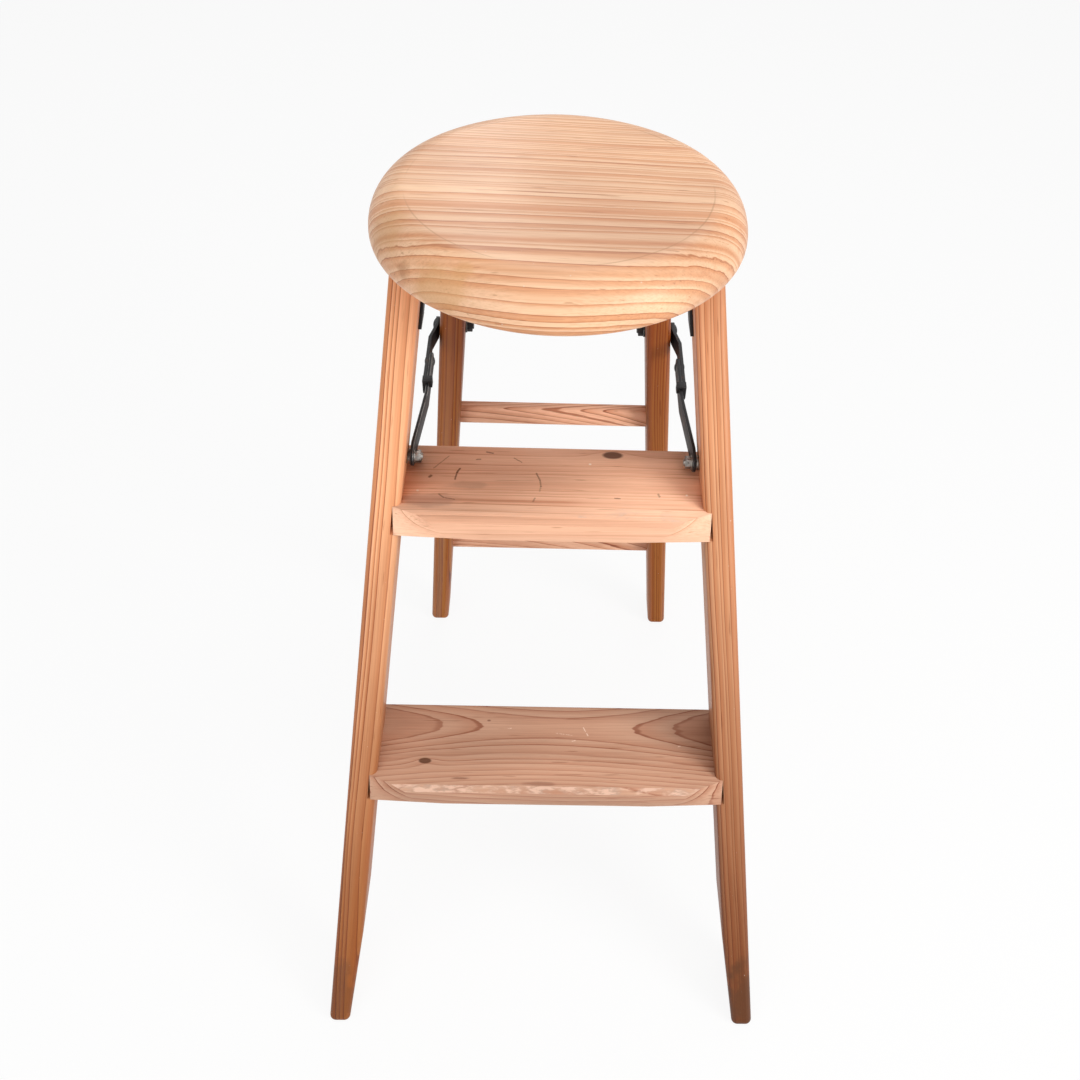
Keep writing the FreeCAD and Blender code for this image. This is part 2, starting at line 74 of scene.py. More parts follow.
class Metal(Enum):
    """The two metals of the fittings."""

    BLACK = "black_steel"
    ZINC = "zinc_steel"


class Term:
    """A number socket that writes Math nodes when it is used in an expression."""

    def __init__(self, sheet: "Sheet", socket: Any) -> None:
        """Keeps the sheet the nodes go to and the socket the number comes from."""
        self.sheet = sheet
        self.socket = socket

    def math(self, operation: str, *others: Any, first: Any = None, clamp: bool = False) -> "Term":
        """Adds one Math node.

        Args:
            operation: The Math node's operation.
            others: The numbers or terms after this one.
            first: What stands before this term, for the reflected forms.
            clamp: Keep the result between 0 and 1.

        Returns:
            The node's result.
        """
        values = [self, *others] if first is None else [first, self]
        settings = {"operation": operation, "use_clamp": clamp}
        return self.sheet.term("ShaderNodeMath", settings, dict(enumerate(values)))

    def __add__(self, other: Any) -> "Term":
        """Sum."""
        return self.math("ADD", other)

    __radd__ = __add__

    def __mul__(self, other: Any) -> "Term":
        """Product."""
        return self.math("MULTIPLY", other)

    __rmul__ = __mul__

    def __sub__(self, other: Any) -> "Term":
        """Difference."""
        return self.math("SUBTRACT", other)

    def __rsub__(self, other: Any) -> "Term":
        """Difference from a number."""
        return self.math("SUBTRACT", first=other)

    def __pow__(self, other: Any) -> "Term":
        """Power."""
        return self.math("POWER", other)

    def __abs__(self) -> "Term":
        """Size without sign."""
        return self.math("ABSOLUTE")

    def floor(self) -> "Term":
        """Next whole number below."""
        return self.math("FLOOR")

    def fract(self) -> "Term":
        """What is left after the whole number."""
        return self.math("FRACT")

    def clip(self) -> "Term":
        """Kept between 0 and 1."""
        return self.math("ADD", 0.0, clamp=True)

    def bell(self, width: float) -> "Term":
        """One at zero, falling off to nothing over the width, as exp(-(t/width)^2)."""
        return EULER ** ((self * self) * (-1.0 / width**2))

    def __rpow__(self, other: Any) -> "Term":
        """Number to this power."""
        return self.math("POWER", first=other)

    def step(self, low: float, high: float, out_low: float = 0.0, out_high: float = 1.0) -> "Term":
        """Smooth step.

        Args:
            low: Where it starts.
            high: Where it ends; less than low turns it round.
            out_low: The value at low.
            out_high: The value at high.

        Returns:
            The stepped value.
        """
        if high < low:
            low, high, out_low, out_high = high, low, out_high, out_low
        inputs = {"Value": self, 1: low, 2: high, 3: out_low, 4: out_high}
        return self.sheet.term("ShaderNodeMapRange", {"interpolation_type": "SMOOTHSTEP"}, inputs)


def put(tree: bpy.types.NodeTree, target: Any, value: Any) -> None:
    """Links a term or socket to an input, or sets a plain value on it.

    Args:
        tree: The node tree.
        target: The input.
        value: A term, socket, number, vector or colour.
    """
    if isinstance(value, Term):
        value = value.socket
    if isinstance(value, bpy.types.NodeSocket):
        tree.links.new(value, target)
    elif hasattr(value, "__len__") and len(value) == 3 and target.type == "RGBA":
        target.default_value = (*value, 1.0)
    else:
        target.default_value = value


def add_node(
    tree: bpy.types.NodeTree, kind: str,
    settings: Optional[dict] = None, inputs: Optional[dict] = None,
) -> Any:
    """Makes one node in any tree.

    Args:
        tree: The node tree.
        kind: The node's type.
        settings: The node's own properties, set first.
        inputs: Socket name or number to a number, colour, term or socket.

    Returns:
        The node.
    """
    node = tree.nodes.new(kind)
    for key, value in (settings or {}).items():
        setattr(node, key, value)
    for key, value in (inputs or {}).items():
        put(tree, node.inputs[key], value)
    return node


class Sheet:
    """The node sheet of one material, with one Principled shader."""

    def __init__(self, name: str) -> None:
        """Makes an empty material.

        Args:
            name: The material's name.
        """
        self.material = bpy.data.materials.new(name)
        self.material.use_nodes = True
        self.tree = self.material.node_tree
        self.tree.nodes.clear()
        self.shader = self.add("ShaderNodeBsdfPrincipled")
        self.add("ShaderNodeOutputMaterial", {}, {"Surface": self.shader.outputs[0]})
        self.place = self.add("ShaderNodeTexCoord").outputs["Object"]

    def add(self, *details: Any) -> Any:
        """Makes one node of this sheet, as add_node does."""
        return add_node(self.tree, *details)

    def term(self, kind: str, settings: dict, inputs: dict, output: Union[int, str] = 0) -> Term:
        """Makes a node and hands back one of its outputs as a number."""
        return Term(self, self.add(kind, settings, inputs).outputs[output])

    def vector(self, operation: str, *values: Any) -> Any:
        """One Vector Math node's vector result."""
        node = self.add("ShaderNodeVectorMath", {"operation": operation}, dict(enumerate(values)))
        return node.outputs["Vector"]

    def length(self, vector: Any) -> Term:
        """Length of a vector."""
        return self.term("ShaderNodeVectorMath", {"operation": "LENGTH"}, {0: vector}, "Value")

    def dot(self, vector: Any, other: Any) -> Term:
        """Dot product of two vectors."""
        settings, inputs = {"operation": "DOT_PRODUCT"}, {0: vector, 1: other}
        return self.term("ShaderNodeVectorMath", settings, inputs, "Value")

    def parts(self, vector: Any) -> tuple[Term, Term, Term]:
        """The x, y and z of a vector."""
        node = self.add("ShaderNodeSeparateXYZ", {}, {0: vector})
        return tuple(Term(self, output) for output in node.outputs)

    def noise(self, vector: Any, scale: float, detail: float = 2.0, rough: float = 0.5) -> Term:
        """Soft noise from 0 to 1."""
        inputs = {"Vector": vector, "Scale": scale, "Detail": detail, "Roughness": rough}
        return self.term("ShaderNodeTexNoise", {}, inputs, "Fac")

    def mix(self, share: Any, low: Any, high: Any, blend: str = "MIX") -> Any:
        """Mixes two colours.

        Args:
            share: How much of the second colour.
            low: The colour at 0.
            high: The colour at 1.
            blend: The Mix node's blending mode.

        Returns:
            The mixed colour's socket.
        """
        settings = {"data_type": "RGBA", "blend_type": blend, "clamp_factor": True}
        return self.add("ShaderNodeMix", settings, {0: share, 6: low, 7: high}).outputs[2]

    def bump(self, height: Term, distance: float, strength: float = 1.0, below: Any = None) -> Any:
        """A Bump node.

        Args:
            height: The height.
            distance: How far a height of 1 stands out.
            strength: How strong it is.
            below: A normal to go over.

        Returns:
            The normal's socket.
        """
        inputs = {"Height": height, "Distance": distance, "Strength": strength}
        if below is not None:
            inputs["Normal"] = below
        return self.add("ShaderNodeBump", {}, inputs).outputs[0]

    def finish(self, **inputs: Any) -> bpy.types.Material:
        """Sets the shader's sockets.

        Args:
            inputs: Socket names, with _ between words as in Base_Color, and their values.

        Returns:
            The material.
        """
        for key, value in inputs.items():
            put(self.tree, self.shader.inputs[key.replace("_", " ")], value)
        return self.material


@dataclass(frozen=True)
class Knot:
    """A knot that the rings flow round.

    Attributes:
        at: Its centre on the surface, in metres.
        radius: Its dark heart's radius.
    """

    at: Triple
    radius: float


@dataclass(frozen=True)
class Stroke:
    """A dent or scratch.

    Attributes:
        start: Its one end.
        end: Its other end.
        width: Half its width.
        depth: How strong it is, from 0 to 1.
        colour: Its colour.
    """

    start: Triple
    end: Triple
    width: float = 0.0012
    depth: float = 0.7
    colour: Triple = (0.12, 0.045, 0.02)


@dataclass(frozen=True)
class Stain:
    """A soft patch of another colour.

    Attributes:
        at: Its centre.
        size: Its half sizes.
        colour: Its colour.
        share: How strong it is.
        ragged: How uneven its edge is.
    """

    at: Triple
    size: Triple
    colour: Triple
    share: float = 0.7
    ragged: float = 0.6


@dataclass(frozen=True)
class Timber:
    """Softwood cut from a trunk, with the rings where the saw left them.

    Attributes:
        name: The material's name.
        pith: A point on the middle line of the trunk.
        grain: The direction of the trunk.
        early: Colour of the wide pale part of a ring.
        late: Tint of the part that darkens slowly towards the next ring.
        line: Tint of the thin line where a ring ends.
        ring: Width of a ring near the pith.
        crowd: How much narrower the rings get away from the pith.
        bow: How much the trunk bends, which makes the arches.
        wave: How far the trunk wanders.
        sharp: Where in a ring its dark line starts, from 0 to 1.
        gloss: Roughness of the varnish.
        sheen: How much the bare surface mirrors.
        coat: Weight of the varnish coat.
        bare: Colour where the edges are worn.
        worn: How much of the edges is worn, from 0 to 1.
        contrast: Strength of the dark part of a ring.
        lower: Colour towards the floor, or None.
        tint_and_shade_heights: Heights between which lower turns into early; on the rear legs the
            darker colour at the top is painted shade under the seat.
        knots: Knots on the surface.
        strokes: Dents and scratches.
        stains: Soft patches.
        nose: How much of the bevel that faces front and up is worn bare.
        endwise: How much bolder the rings are where the board is cut across.
        scribe: Middle and radius of a thin round line on the top, or None.
        seed: Shifts the noise, so that no two boards match.
    """

    name: str
    pith: Triple
    grain: Triple
    early: Triple
    late: Triple = (0.72, 0.52, 0.40)
    line: Triple = (0.42, 0.24, 0.17)
    ring: float = 0.0032
    crowd: float = 0.0
    bow: float = 0.0
    wave: float = 0.004
    sharp: float = 0.80
    gloss: float = 0.45
    sheen: float = 0.16
    coat: float = 0.15
    bare: Triple = (0.62, 0.40, 0.27)
    worn: float = 0.5
    contrast: float = 0.8
    lower: Optional[Triple] = None
    tint_and_shade_heights: tuple[float, float] = (0.0, 0.7)
    knots: tuple[Knot, ...] = ()
    strokes: tuple[Stroke, ...] = ()
    stains: tuple[Stain, ...] = ()
    nose: float = 0.0
    endwise: float = 0.0
    scribe: Optional[tuple[Triple, float]] = None
    seed: float = 0.0

    def turn(self) -> Triple:
        """The turn that lays local X along the grain."""
        grain = Vector(self.grain).normalized()
        return tuple(Vector((1, 0, 0)).rotation_difference(grain).to_euler())

    def material(self) -> bpy.types.Material:
        """Writes the finish's nodes.

        Returns:
            The material.
        """
        sheet = Sheet(self.name)
        mapping = {"Vector": sheet.place, "Location": self.pith, "Rotation": self.turn()}
        trunk = sheet.add("ShaderNodeMapping", {"vector_type": "TEXTURE"}, mapping).outputs[0]
        drawn = sheet.vector("MULTIPLY_ADD", trunk, (0.22, 1, 1), (self.seed, self.seed, 0))
        phase, knotted = self.rings(sheet, trunk, drawn)
        share = phase.fract()
        end = share.step(1.0, 0.955)
        flat = {"noise_dimensions": "1D"}
        number = sheet.term("ShaderNodeTexWhiteNoise", flat, {"W": phase.floor()})
        across, _, _ = sheet.parts(sheet.add("ShaderNodeTexCoord").outputs["Normal"])
        cut = abs(across).step(0.12, 0.30) * self.endwise
        strength = (0.30 + 0.70 * number + 0.9 * cut) * self.contrast
        fibre = sheet.noise(sheet.vector("MULTIPLY", trunk, (9, 900, 900)), 1.0, 3.0, 0.6)
        dash = sheet.noise(sheet.vector("MULTIPLY", trunk, (26, 420, 420)), 1.0, 1.0)
        streak = sheet.noise(sheet.vector("MULTIPLY", drawn, (14, 130, 130)), 1.0, 2.0)
        tone = sheet.noise(drawn, 14.0, 2.0)
        colour = self.shaded(sheet, tone)
        body = share.step(0.10, 0.95) * end * (0.45 + 0.55 * strength)
        colour = sheet.mix(body * self.contrast, colour, self.late, "MULTIPLY")
        line = share.step(self.sharp, 0.35 * self.sharp + 0.63) * end * strength
        line = line * (0.65 + 0.5 * streak)
        colour = sheet.mix(line, colour, self.line, "MULTIPLY")
        colour = sheet.mix(streak.step(0.55, 0.78) * 0.35, colour, self.late, "MULTIPLY")
        grey = (0.55, 0.42, 0.34)
        colour = sheet.mix(fibre.step(0.35, 0.75) * 0.30, colour, grey, "MULTIPLY")
        colour = sheet.mix(dash.step(0.68, 0.76) * 0.55, colour, grey, "MULTIPLY")
        colour = self.marked(sheet, colour, knotted)
        colour, bared = self.rubbed(sheet, colour, tone, fibre)
        rough = self.gloss + 0.10 * fibre - 0.05 * line + 0.22 * bared
        height = line * 0.5 - fibre.step(0.45, 0.8) * 0.5
        normal = sheet.bump(height, 0.00022, 0.5)
        coat = (1.0 - bared) * self.coat
        return sheet.finish(
            Base_Color=colour, Roughness=rough, Coat_Weight=coat, Coat_Roughness=0.22,
            Specular_IOR_Level=self.sheen, Normal=normal,
        )

    def rings(self, sheet: Sheet, trunk: Any, drawn: Any) -> tuple[Term, Term]:
        """Ring number at each point.

        Args:
            sheet: Where the nodes go.
            trunk: Position with X along the trunk and the pith at 0.
            drawn: The same drawn out along the grain.

        Returns:
            The ring number and how near the point is to a knot's heart.
        """
        wander = sheet.add("ShaderNodeTexNoise", {}, {"Vector": drawn, "Scale": 9.0, "Detail": 1.5})
        wander = sheet.vector("SUBTRACT", wander.outputs["Color"], (0.5, 0.5, 0.5))
        bent = sheet.vector("MULTIPLY_ADD", wander, (0, 4 * self.wave, 4 * self.wave), trunk)
        x, y, z = sheet.parts(bent)
        z = z + x * x * self.bow
        radius = (y * y + z * z) ** 0.5
        heart: Optional[Term] = None
        for knot in self.knots:
            away = sheet.vector("SUBTRACT", sheet.place, knot.at)
            distance = sheet.length(sheet.vector("MULTIPLY", away, (0.55, 1.0, 1.0)))
            radius = radius + distance.bell(2.4 * knot.radius) * (0.9 * knot.radius)
            near = distance.step(1.15 * knot.radius, 0.75 * knot.radius)
            heart = near if heart is None else heart.math("MAXIMUM", near)
        slow = sheet.term(
            "ShaderNodeTexNoise", {"noise_dimensions": "1D"},
            {"W": radius + self.seed, "Scale": 90.0, "Detail": 1.0}, "Fac",
        )
        fuzz = sheet.noise(sheet.vector("MULTIPLY", drawn, (1, 8, 8)), 20.0, 2.0)
        phase = radius * (1.0 / self.ring) + radius * radius * self.crowd + 2.6 * slow + 0.30 * fuzz
        if heart is None:
            heart = radius * 0.0
        return phase, heart

    def shaded(self, sheet: Sheet, tone: Term) -> Any:
        """Early-wood colour with slow drift, turning to the lower colour towards the floor; on the
        rear legs the darker top is painted shade under the seat.

        Args:
            sheet: Where the nodes go.
            tone: Slow noise.

        Returns:
            The colour's socket.
        """
        pale = tuple(min(1.0, 1.16 * part) for part in self.early)
        deep = tuple(0.80 * part for part in self.early)
        colour = sheet.mix(tone.step(0.25, 0.75), deep, pale)
        if self.lower is None:
            return colour
        _, _, height = sheet.parts(sheet.place)
        share = (height + 0.10 * tone).step(self.tint_and_shade_heights[1], self.tint_and_shade_heights[0])
        return sheet.mix(share, colour, self.lower)

    def marked(self, sheet: Sheet, colour: Any, heart: Term) -> Any:
        """Knots, stains, strokes and the scribed line over the wood's colour.

        Args:
            sheet: Where the nodes go.
            colour: The colour so far.
            heart: How near each point is to a knot's heart.

        Returns:
            The colour's socket.
        """
        if self.knots:
            colour = sheet.mix(heart * 0.9, colour, (0.10, 0.035, 0.016))
        for stain in self.stains:
            away = sheet.vector("SUBTRACT", sheet.place, stain.at)
            away = sheet.vector("DIVIDE", away, stain.size)
            edge = sheet.noise(sheet.place, 60.0, 3.0) * (2 * stain.ragged)
            share = (sheet.length(away) + edge - stain.ragged).step(1.1, 0.5) * stain.share
            colour = sheet.mix(share, colour, stain.colour)
        for stroke in self.strokes:
            start, end = Vector(stroke.start), Vector(stroke.end)
            run = end - start
            away = sheet.vector("SUBTRACT", sheet.place, stroke.start)
            along = {0: tuple(run), "Scale": sheet.dot(away, tuple(run / run.length_squared)).clip()}
            reach = sheet.add("ShaderNodeVectorMath", {"operation": "SCALE"}, along).outputs[0]
            distance = sheet.length(sheet.vector("SUBTRACT", away, reach))
            distance = distance + 0.0012 * sheet.noise(sheet.place, 700.0, 1.0) - 0.0006
            share = distance.step(stroke.width, 0.3 * stroke.width) * stroke.depth
            colour = sheet.mix(share, colour, stroke.colour)
        if self.scribe:
            middle, size = self.scribe
            away = sheet.vector("SUBTRACT", sheet.place, middle)
            away = sheet.vector("MULTIPLY", away, (1, 1, 0))
            ring = abs(sheet.length(away) + 0.0016 * sheet.noise(sheet.place, 30.0, 2.0) - size)
            faint = sheet.noise(sheet.place, 16.0, 2.0).step(0.42, 0.62)
            share = ring.step(0.0010, 0.0002) * faint * 0.45
            colour = sheet.mix(share, colour, (0.40, 0.19, 0.08))
        return colour

    def rubbed(self, sheet: Sheet, colour: Any, tone: Term, fibre: Term) -> tuple[Any, Term]:
        """Bares the arrises, and the nose where it is worn.

        Args:
            sheet: Where the nodes go.
            colour: The colour so far.
            tone: Slow noise.
            fibre: Fine noise along the grain.

        Returns:
            The colour and how bare the wood is.
        """
        arris = sheet.term("ShaderNodeAttribute", {"attribute_name": "arris"}, {}, "Fac")
        patch = sheet.noise(sheet.place, 38.0, 3.0, 0.6)
        bared = arris * (patch + 0.2 * fibre).step(0.72 - 0.35 * self.worn, 0.9 - 0.3 * self.worn)
        bared = bared * 0.75
        if self.nose:
            normal = sheet.add("ShaderNodeTexCoord").outputs["Normal"]
            facing = sheet.dot(normal, (0, -math.sqrt(0.5), math.sqrt(0.5)))
            drawn = sheet.vector("MULTIPLY", sheet.place, (70, 220, 220))
            scuff = sheet.noise(drawn, 1.0, 3.0, 0.65)
            edge = 0.78 - 0.42 * self.nose
            blotch = (0.55 * patch + 0.45 * scuff + 0.2 * tone).step(edge, edge + 0.16)
            bared = bared.math("MAXIMUM", facing.step(0.93, 0.985) * blotch * 0.80)
            brown = tuple(0.62 * part for part in self.bare)
            colour = sheet.mix(bared, colour, sheet.mix(scuff.step(0.40, 0.60), brown, self.bare))
            return colour, bared
        specks = sheet.noise(sheet.place, 420.0, 1.0).step(0.795, 0.82)
        colour = sheet.mix(bared, colour, self.bare)
        return sheet.mix(specks * 0.5, colour, (0.75, 0.66, 0.56)), bared


@dataclass(frozen=True)
class BlackSteel:
    """Black finish on flat bar, worn to grey steel on its edges and rubbed in places.

    Attributes:
        name: The material's name.
        black: Colour of the finish.
        grey: Colour of the bare steel.
    """

    name: str = "black_finish"
    black: Triple = (0.012, 0.012, 0.014)
    grey: Triple = (0.26, 0.25, 0.24)

    def material(self) -> bpy.types.Material:
        """Writes the finish's nodes.

        Returns:
            The material.
        """
        sheet = Sheet(self.name)
        broad = sheet.noise(sheet.place, 55.0, 4.0, 0.6)
        fine = sheet.noise(sheet.place, 900.0, 2.0)
        arris = sheet.term("ShaderNodeAttribute", {"attribute_name": "arris"}, {}, "Fac")
        edges = arris * (broad + 0.25 * fine).step(0.42, 0.66)
        worn = (edges + broad.step(0.64, 0.74) * 0.35).clip()
        rust = sheet.noise(sheet.place, 130.0, 3.0).step(0.62, 0.74)
        colour = sheet.mix(worn, self.black, self.grey)
        colour = sheet.mix(rust * 0.45, colour, (0.09, 0.045, 0.022))
        return sheet.finish(
            Base_Color=colour, Metallic=0.35 + 0.6 * worn,
            Roughness=0.50 - 0.16 * worn + 0.14 * fine,
            Normal=sheet.bump(fine + broad, 0.00008, 0.5),
        )


@dataclass(frozen=True)
class ZincSteel:
    """Dull zinc plate with darker smudges.

    Attributes:
        name: The material's name.
        bright: Colour of clean plate.
        dull: Colour of the smudges.
    """

    name: str = "zinc_plate"
    bright: Triple = (0.34, 0.33, 0.31)
    dull: Triple = (0.06, 0.05, 0.045)

    def material(self) -> bpy.types.Material:
        """Writes the finish's nodes.

        Returns:
            The material.
        """
        sheet = Sheet(self.name)
        smudge = sheet.noise(sheet.place, 160.0, 3.0, 0.6)
        grain = sheet.noise(sheet.place, 1500.0, 2.0)
        colour = sheet.mix(smudge.step(0.42, 0.62), self.bright, self.dull)
        return sheet.finish(
            Base_Color=colour, Metallic=0.92, Roughness=0.28 + 0.24 * smudge + 0.08 * grain,
            Normal=sheet.bump(grain, 0.00003, 0.4),
        )


def new_object(name: str, mesh: bpy.types.Mesh) -> bpy.types.Object:
    """Puts a mesh in the scene.

    Args:
        name: The object's name.
        mesh: Its mesh.

    Returns:
        The object.
    """
    made = bpy.data.objects.new(name, mesh)
    bpy.context.scene.collection.objects.link(made)
    return made


def merged(node: str) -> bmesh.types.BMesh:
    """A working copy of a node's mesh, with its triangles joined and flat faces whole.

    Args:
        node: The node's name.

    Returns:
        The working mesh.
    """
    shape = bmesh.new()
    shape.from_mesh(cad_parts[node].data)
    bmesh.ops.remove_doubles(shape, verts=shape.verts, dist=WELD)
    bmesh.ops.dissolve_limit(
        shape, angle_limit=FLAT, verts=shape.verts, edges=shape.edges, delimit=set()
    )
    bmesh.ops.recalc_face_normals(shape, faces=shape.faces)
    return shape


def eased(shape: bmesh.types.BMesh, width: float, least: float = 24.0) -> None:
    """Takes the sharp edges off a shape and marks the new faces as arrises.

    Args:
        shape: The working mesh.
        width: Width of the eased edge.
        least: Edges that turn by less than this many degrees stay as they are.
    """
    turn = math.radians(least)
    sharp = [e for e in shape.edges if e.is_manifold and e.calc_face_angle(0.0) > turn]
    mark = shape.loops.layers.float.new("arris")
    if not sharp:
        return
    made = bmesh.ops.bevel(
        shape, geom=sharp, offset=width, segments=2, profile=0.5, affect="EDGES", clamp_overlap=True
    )
    for face in made["faces"]:
        for loop in face.loops:
            loop[mark] = 1.0


def settled(shape: bmesh.types.BMesh, name: str, smooth: float = SMOOTH) -> bpy.types.Object:
    """Turns a working mesh into a piece with smooth shading over shallow edges.

    Args:
        shape: The working mesh, which is freed.
        name: The piece's name.
        smooth: Edges that turn by less than this many degrees are smooth.

    Returns:
        The piece.
    """
    mesh = bpy.data.meshes.new(name)
    shape.to_mesh(mesh)
    shape.free()
    mesh.polygons.foreach_set("use_smooth", [True] * len(mesh.polygons))
    mesh.set_sharp_from_angle(angle=math.radians(smooth))
    return new_object(name, mesh)


def islands(node: str) -> list[list[Vector]]:
    """Splits a node into its separate solids.

    Args:
        node: The node's name.

    Returns:
        Each solid's points, sorted by place.
    """
    shape = merged(node)
    left = set(shape.verts)
    found = []
    while left:
        todo = [left.pop()]
        group = []
        while todo:
            vert = todo.pop()
            group.append(vert.co.copy())
            for edge in vert.link_edges:
                other = edge.other_vert(vert)
                if other in left:
                    left.remove(other)
                    todo.append(other)
        found.append(group)
    shape.free()
    return sorted(found, key=lambda group: tuple(round(c, 3) for c in middle_of(group)))


def middle_of(points: Sequence[Vector]) -> Vector:
    """Middle of the box round some points.

    Args:
        points: The points.

    Returns:
        The middle.
    """
    low = Vector(map(min, zip(*points)))
    high = Vector(map(max, zip(*points)))
    return (low + high) / 2


def ring(
    shape: bmesh.types.BMesh, radii: Sequence[float], height: float, axis: Optional[Matrix] = None
) -> list[bmesh.types.BMVert]:
    """Adds one closed row of points round the Z axis.

    Args:
        shape: The working mesh.
        radii: The radius at each step round.
        height: Its height.
        axis: Where the row goes, if not at the origin.

    Returns:
        The row.
    """
    row = []
    for step, radius in enumerate(radii):
        angle = math.tau * step / len(radii)
        place = Vector((radius * math.cos(angle), radius * math.sin(angle), height))
        row.append(shape.verts.new(place if axis is None else axis @ place))
    return row


def band(shape: bmesh.types.BMesh, rows: Sequence[Sequence[bmesh.types.BMVert]]) -> None:
    """Joins each row to the next with faces; a row of one point is a tip.

    Args:
        shape: The working mesh.
        rows: The rows, in order.
    """
    for below, above in zip(rows, rows[1:]):
        turns = max(len(below), len(above))
        for step in range(turns):
            after = (step + 1) % turns
            around = [below[step % len(below)], below[after % len(below)]]
            around += [above[after % len(above)], above[step % len(above)]]
            corners = list(dict.fromkeys(around))
            if len(corners) > 2:
                shape.faces.new(corners)


def lathe(profile: Sequence[tuple[float, float]], turns: int, axis: Matrix) -> bmesh.types.BMesh:
    """Turns a profile into a closed round shape.

    Args:
        profile: Radius and height pairs, from the axis to the axis.
        turns: Number of steps round.
        axis: Where the shape goes.

    Returns:
        The working mesh.
    """
    shape = bmesh.new()
    rows = [
        ring(shape, [radius] * (turns if radius > 1e-9 else 1), height, axis)
        for radius, height in profile
    ]
    band(shape, rows)
    bmesh.ops.recalc_face_normals(shape, faces=shape.faces)
    return shape


class FastenerSet:
    """Lays copies of one fastener on points with Geometry Nodes.

    Attributes:
        tree: The node group, shared by every set.
        inputs: Socket name to identifier.
    """

    def __init__(self) -> None:
        """Writes the node group."""
        self.tree = bpy.data.node_groups.new("fastener_set", "GeometryNodeTree")
        self.inputs: dict[str, str] = {}
        kinds = (
            ("Points", "NodeSocketGeometry"), ("Fastener", "NodeSocketObject"),
            ("Size", "NodeSocketFloat"), ("Twist", "NodeSocketFloat"),
            ("Seed", "NodeSocketInt"), ("Finish", "NodeSocketMaterial"),
        )
        for name, kind in kinds:
            socket = self.tree.interface.new_socket(name, in_out="INPUT", socket_type=kind)
            self.inputs[name] = socket.identifier
        self.tree.interface.new_socket(
            "Fasteners", in_out="OUTPUT", socket_type="NodeSocketGeometry"
        )
        self.wire()

    def wire(self) -> None:
        """Instances the fastener on each point, out along the point's axis, with a random twist."""
        def node(*details: Any) -> Any:
            """Makes one node of the group."""
            return add_node(self.tree, *details)

        given = node("NodeGroupInput").outputs
        outward = {"data_type": "FLOAT_VECTOR"}
        out = node("GeometryNodeInputNamedAttribute", outward, {"Name": "out"})
        way = {"Vector": out.outputs[0]}
        aligned = node("FunctionNodeAlignRotationToVector", {"axis": "Z"}, way)
        turns = {"Seed": given["Seed"], 3: given["Twist"]}
        chance = node("FunctionNodeRandomValue", {"data_type": "FLOAT"}, turns)
        spin = node("ShaderNodeCombineXYZ", {}, {"Z": chance.outputs[1]})
        turned = node(
            "FunctionNodeRotateRotation", {"rotation_space": "LOCAL"},
            {"Rotation": aligned.outputs[0], "Rotate By": spin.outputs[0]},
        )
        source = node("GeometryNodeObjectInfo", {}, {"Object": given["Fastener"]})
        copies = {
            "Points": given["Points"], "Instance": source.outputs["Geometry"],
            "Rotation": turned.outputs[0], "Scale": given["Size"],
        }
        laid = node("GeometryNodeInstanceOnPoints", {}, copies)
        real = node("GeometryNodeRealizeInstances", {}, {"Geometry": laid.outputs[0]})
        finish = {"Geometry": real.outputs[0], "Material": given["Finish"]}
        dressed = node("GeometryNodeSetMaterial", {}, finish)
        node("NodeGroupOutput", {}, {0: dressed.outputs[0]})

    def lay(
        self, name: str, pattern: bpy.types.Object, spots: Sequence[tuple[Vector, Vector]],
        finish: bpy.types.Material, seed: int, twist: float = math.tau,
    ) -> bpy.types.Object:
        """Lays one set.

        Args:
            name: The piece's name.
            pattern: The fastener, drawn at the origin with its head towards +Z.
            spots: Place and outward direction of each.
            finish: Its material.
            seed: Seed of the random twist.
            twist: Largest twist.

        Returns:
            The set as one plain mesh.
        """
        cloud = bpy.data.meshes.new(name + "_points")
        cloud.from_pydata([tuple(place) for place, _ in spots], [], [])
        axes = cloud.attributes.new("out", "FLOAT_VECTOR", "POINT")
        axes.data.foreach_set("vector", [c for _, way in spots for c in way])
        holder = new_object(name + "_holder", cloud)
        modifier = holder.modifiers.new("set", "NODES")
        modifier.node_group = self.tree
        values = {"Fastener": pattern, "Size": 1.0, "Twist": twist, "Seed": seed, "Finish": finish}
        for key, value in values.items():
            modifier[self.inputs[key]] = value
        graph = bpy.context.evaluated_depsgraph_get()
        mesh = bpy.data.meshes.new_from_object(holder.evaluated_get(graph), depsgraph=graph)
        mesh.name = name
        holder.modifiers.remove(modifier)
        bpy.data.objects.remove(holder)
        mesh.set_sharp_from_angle(angle=math.radians(SMOOTH))
        return new_object(name, mesh)


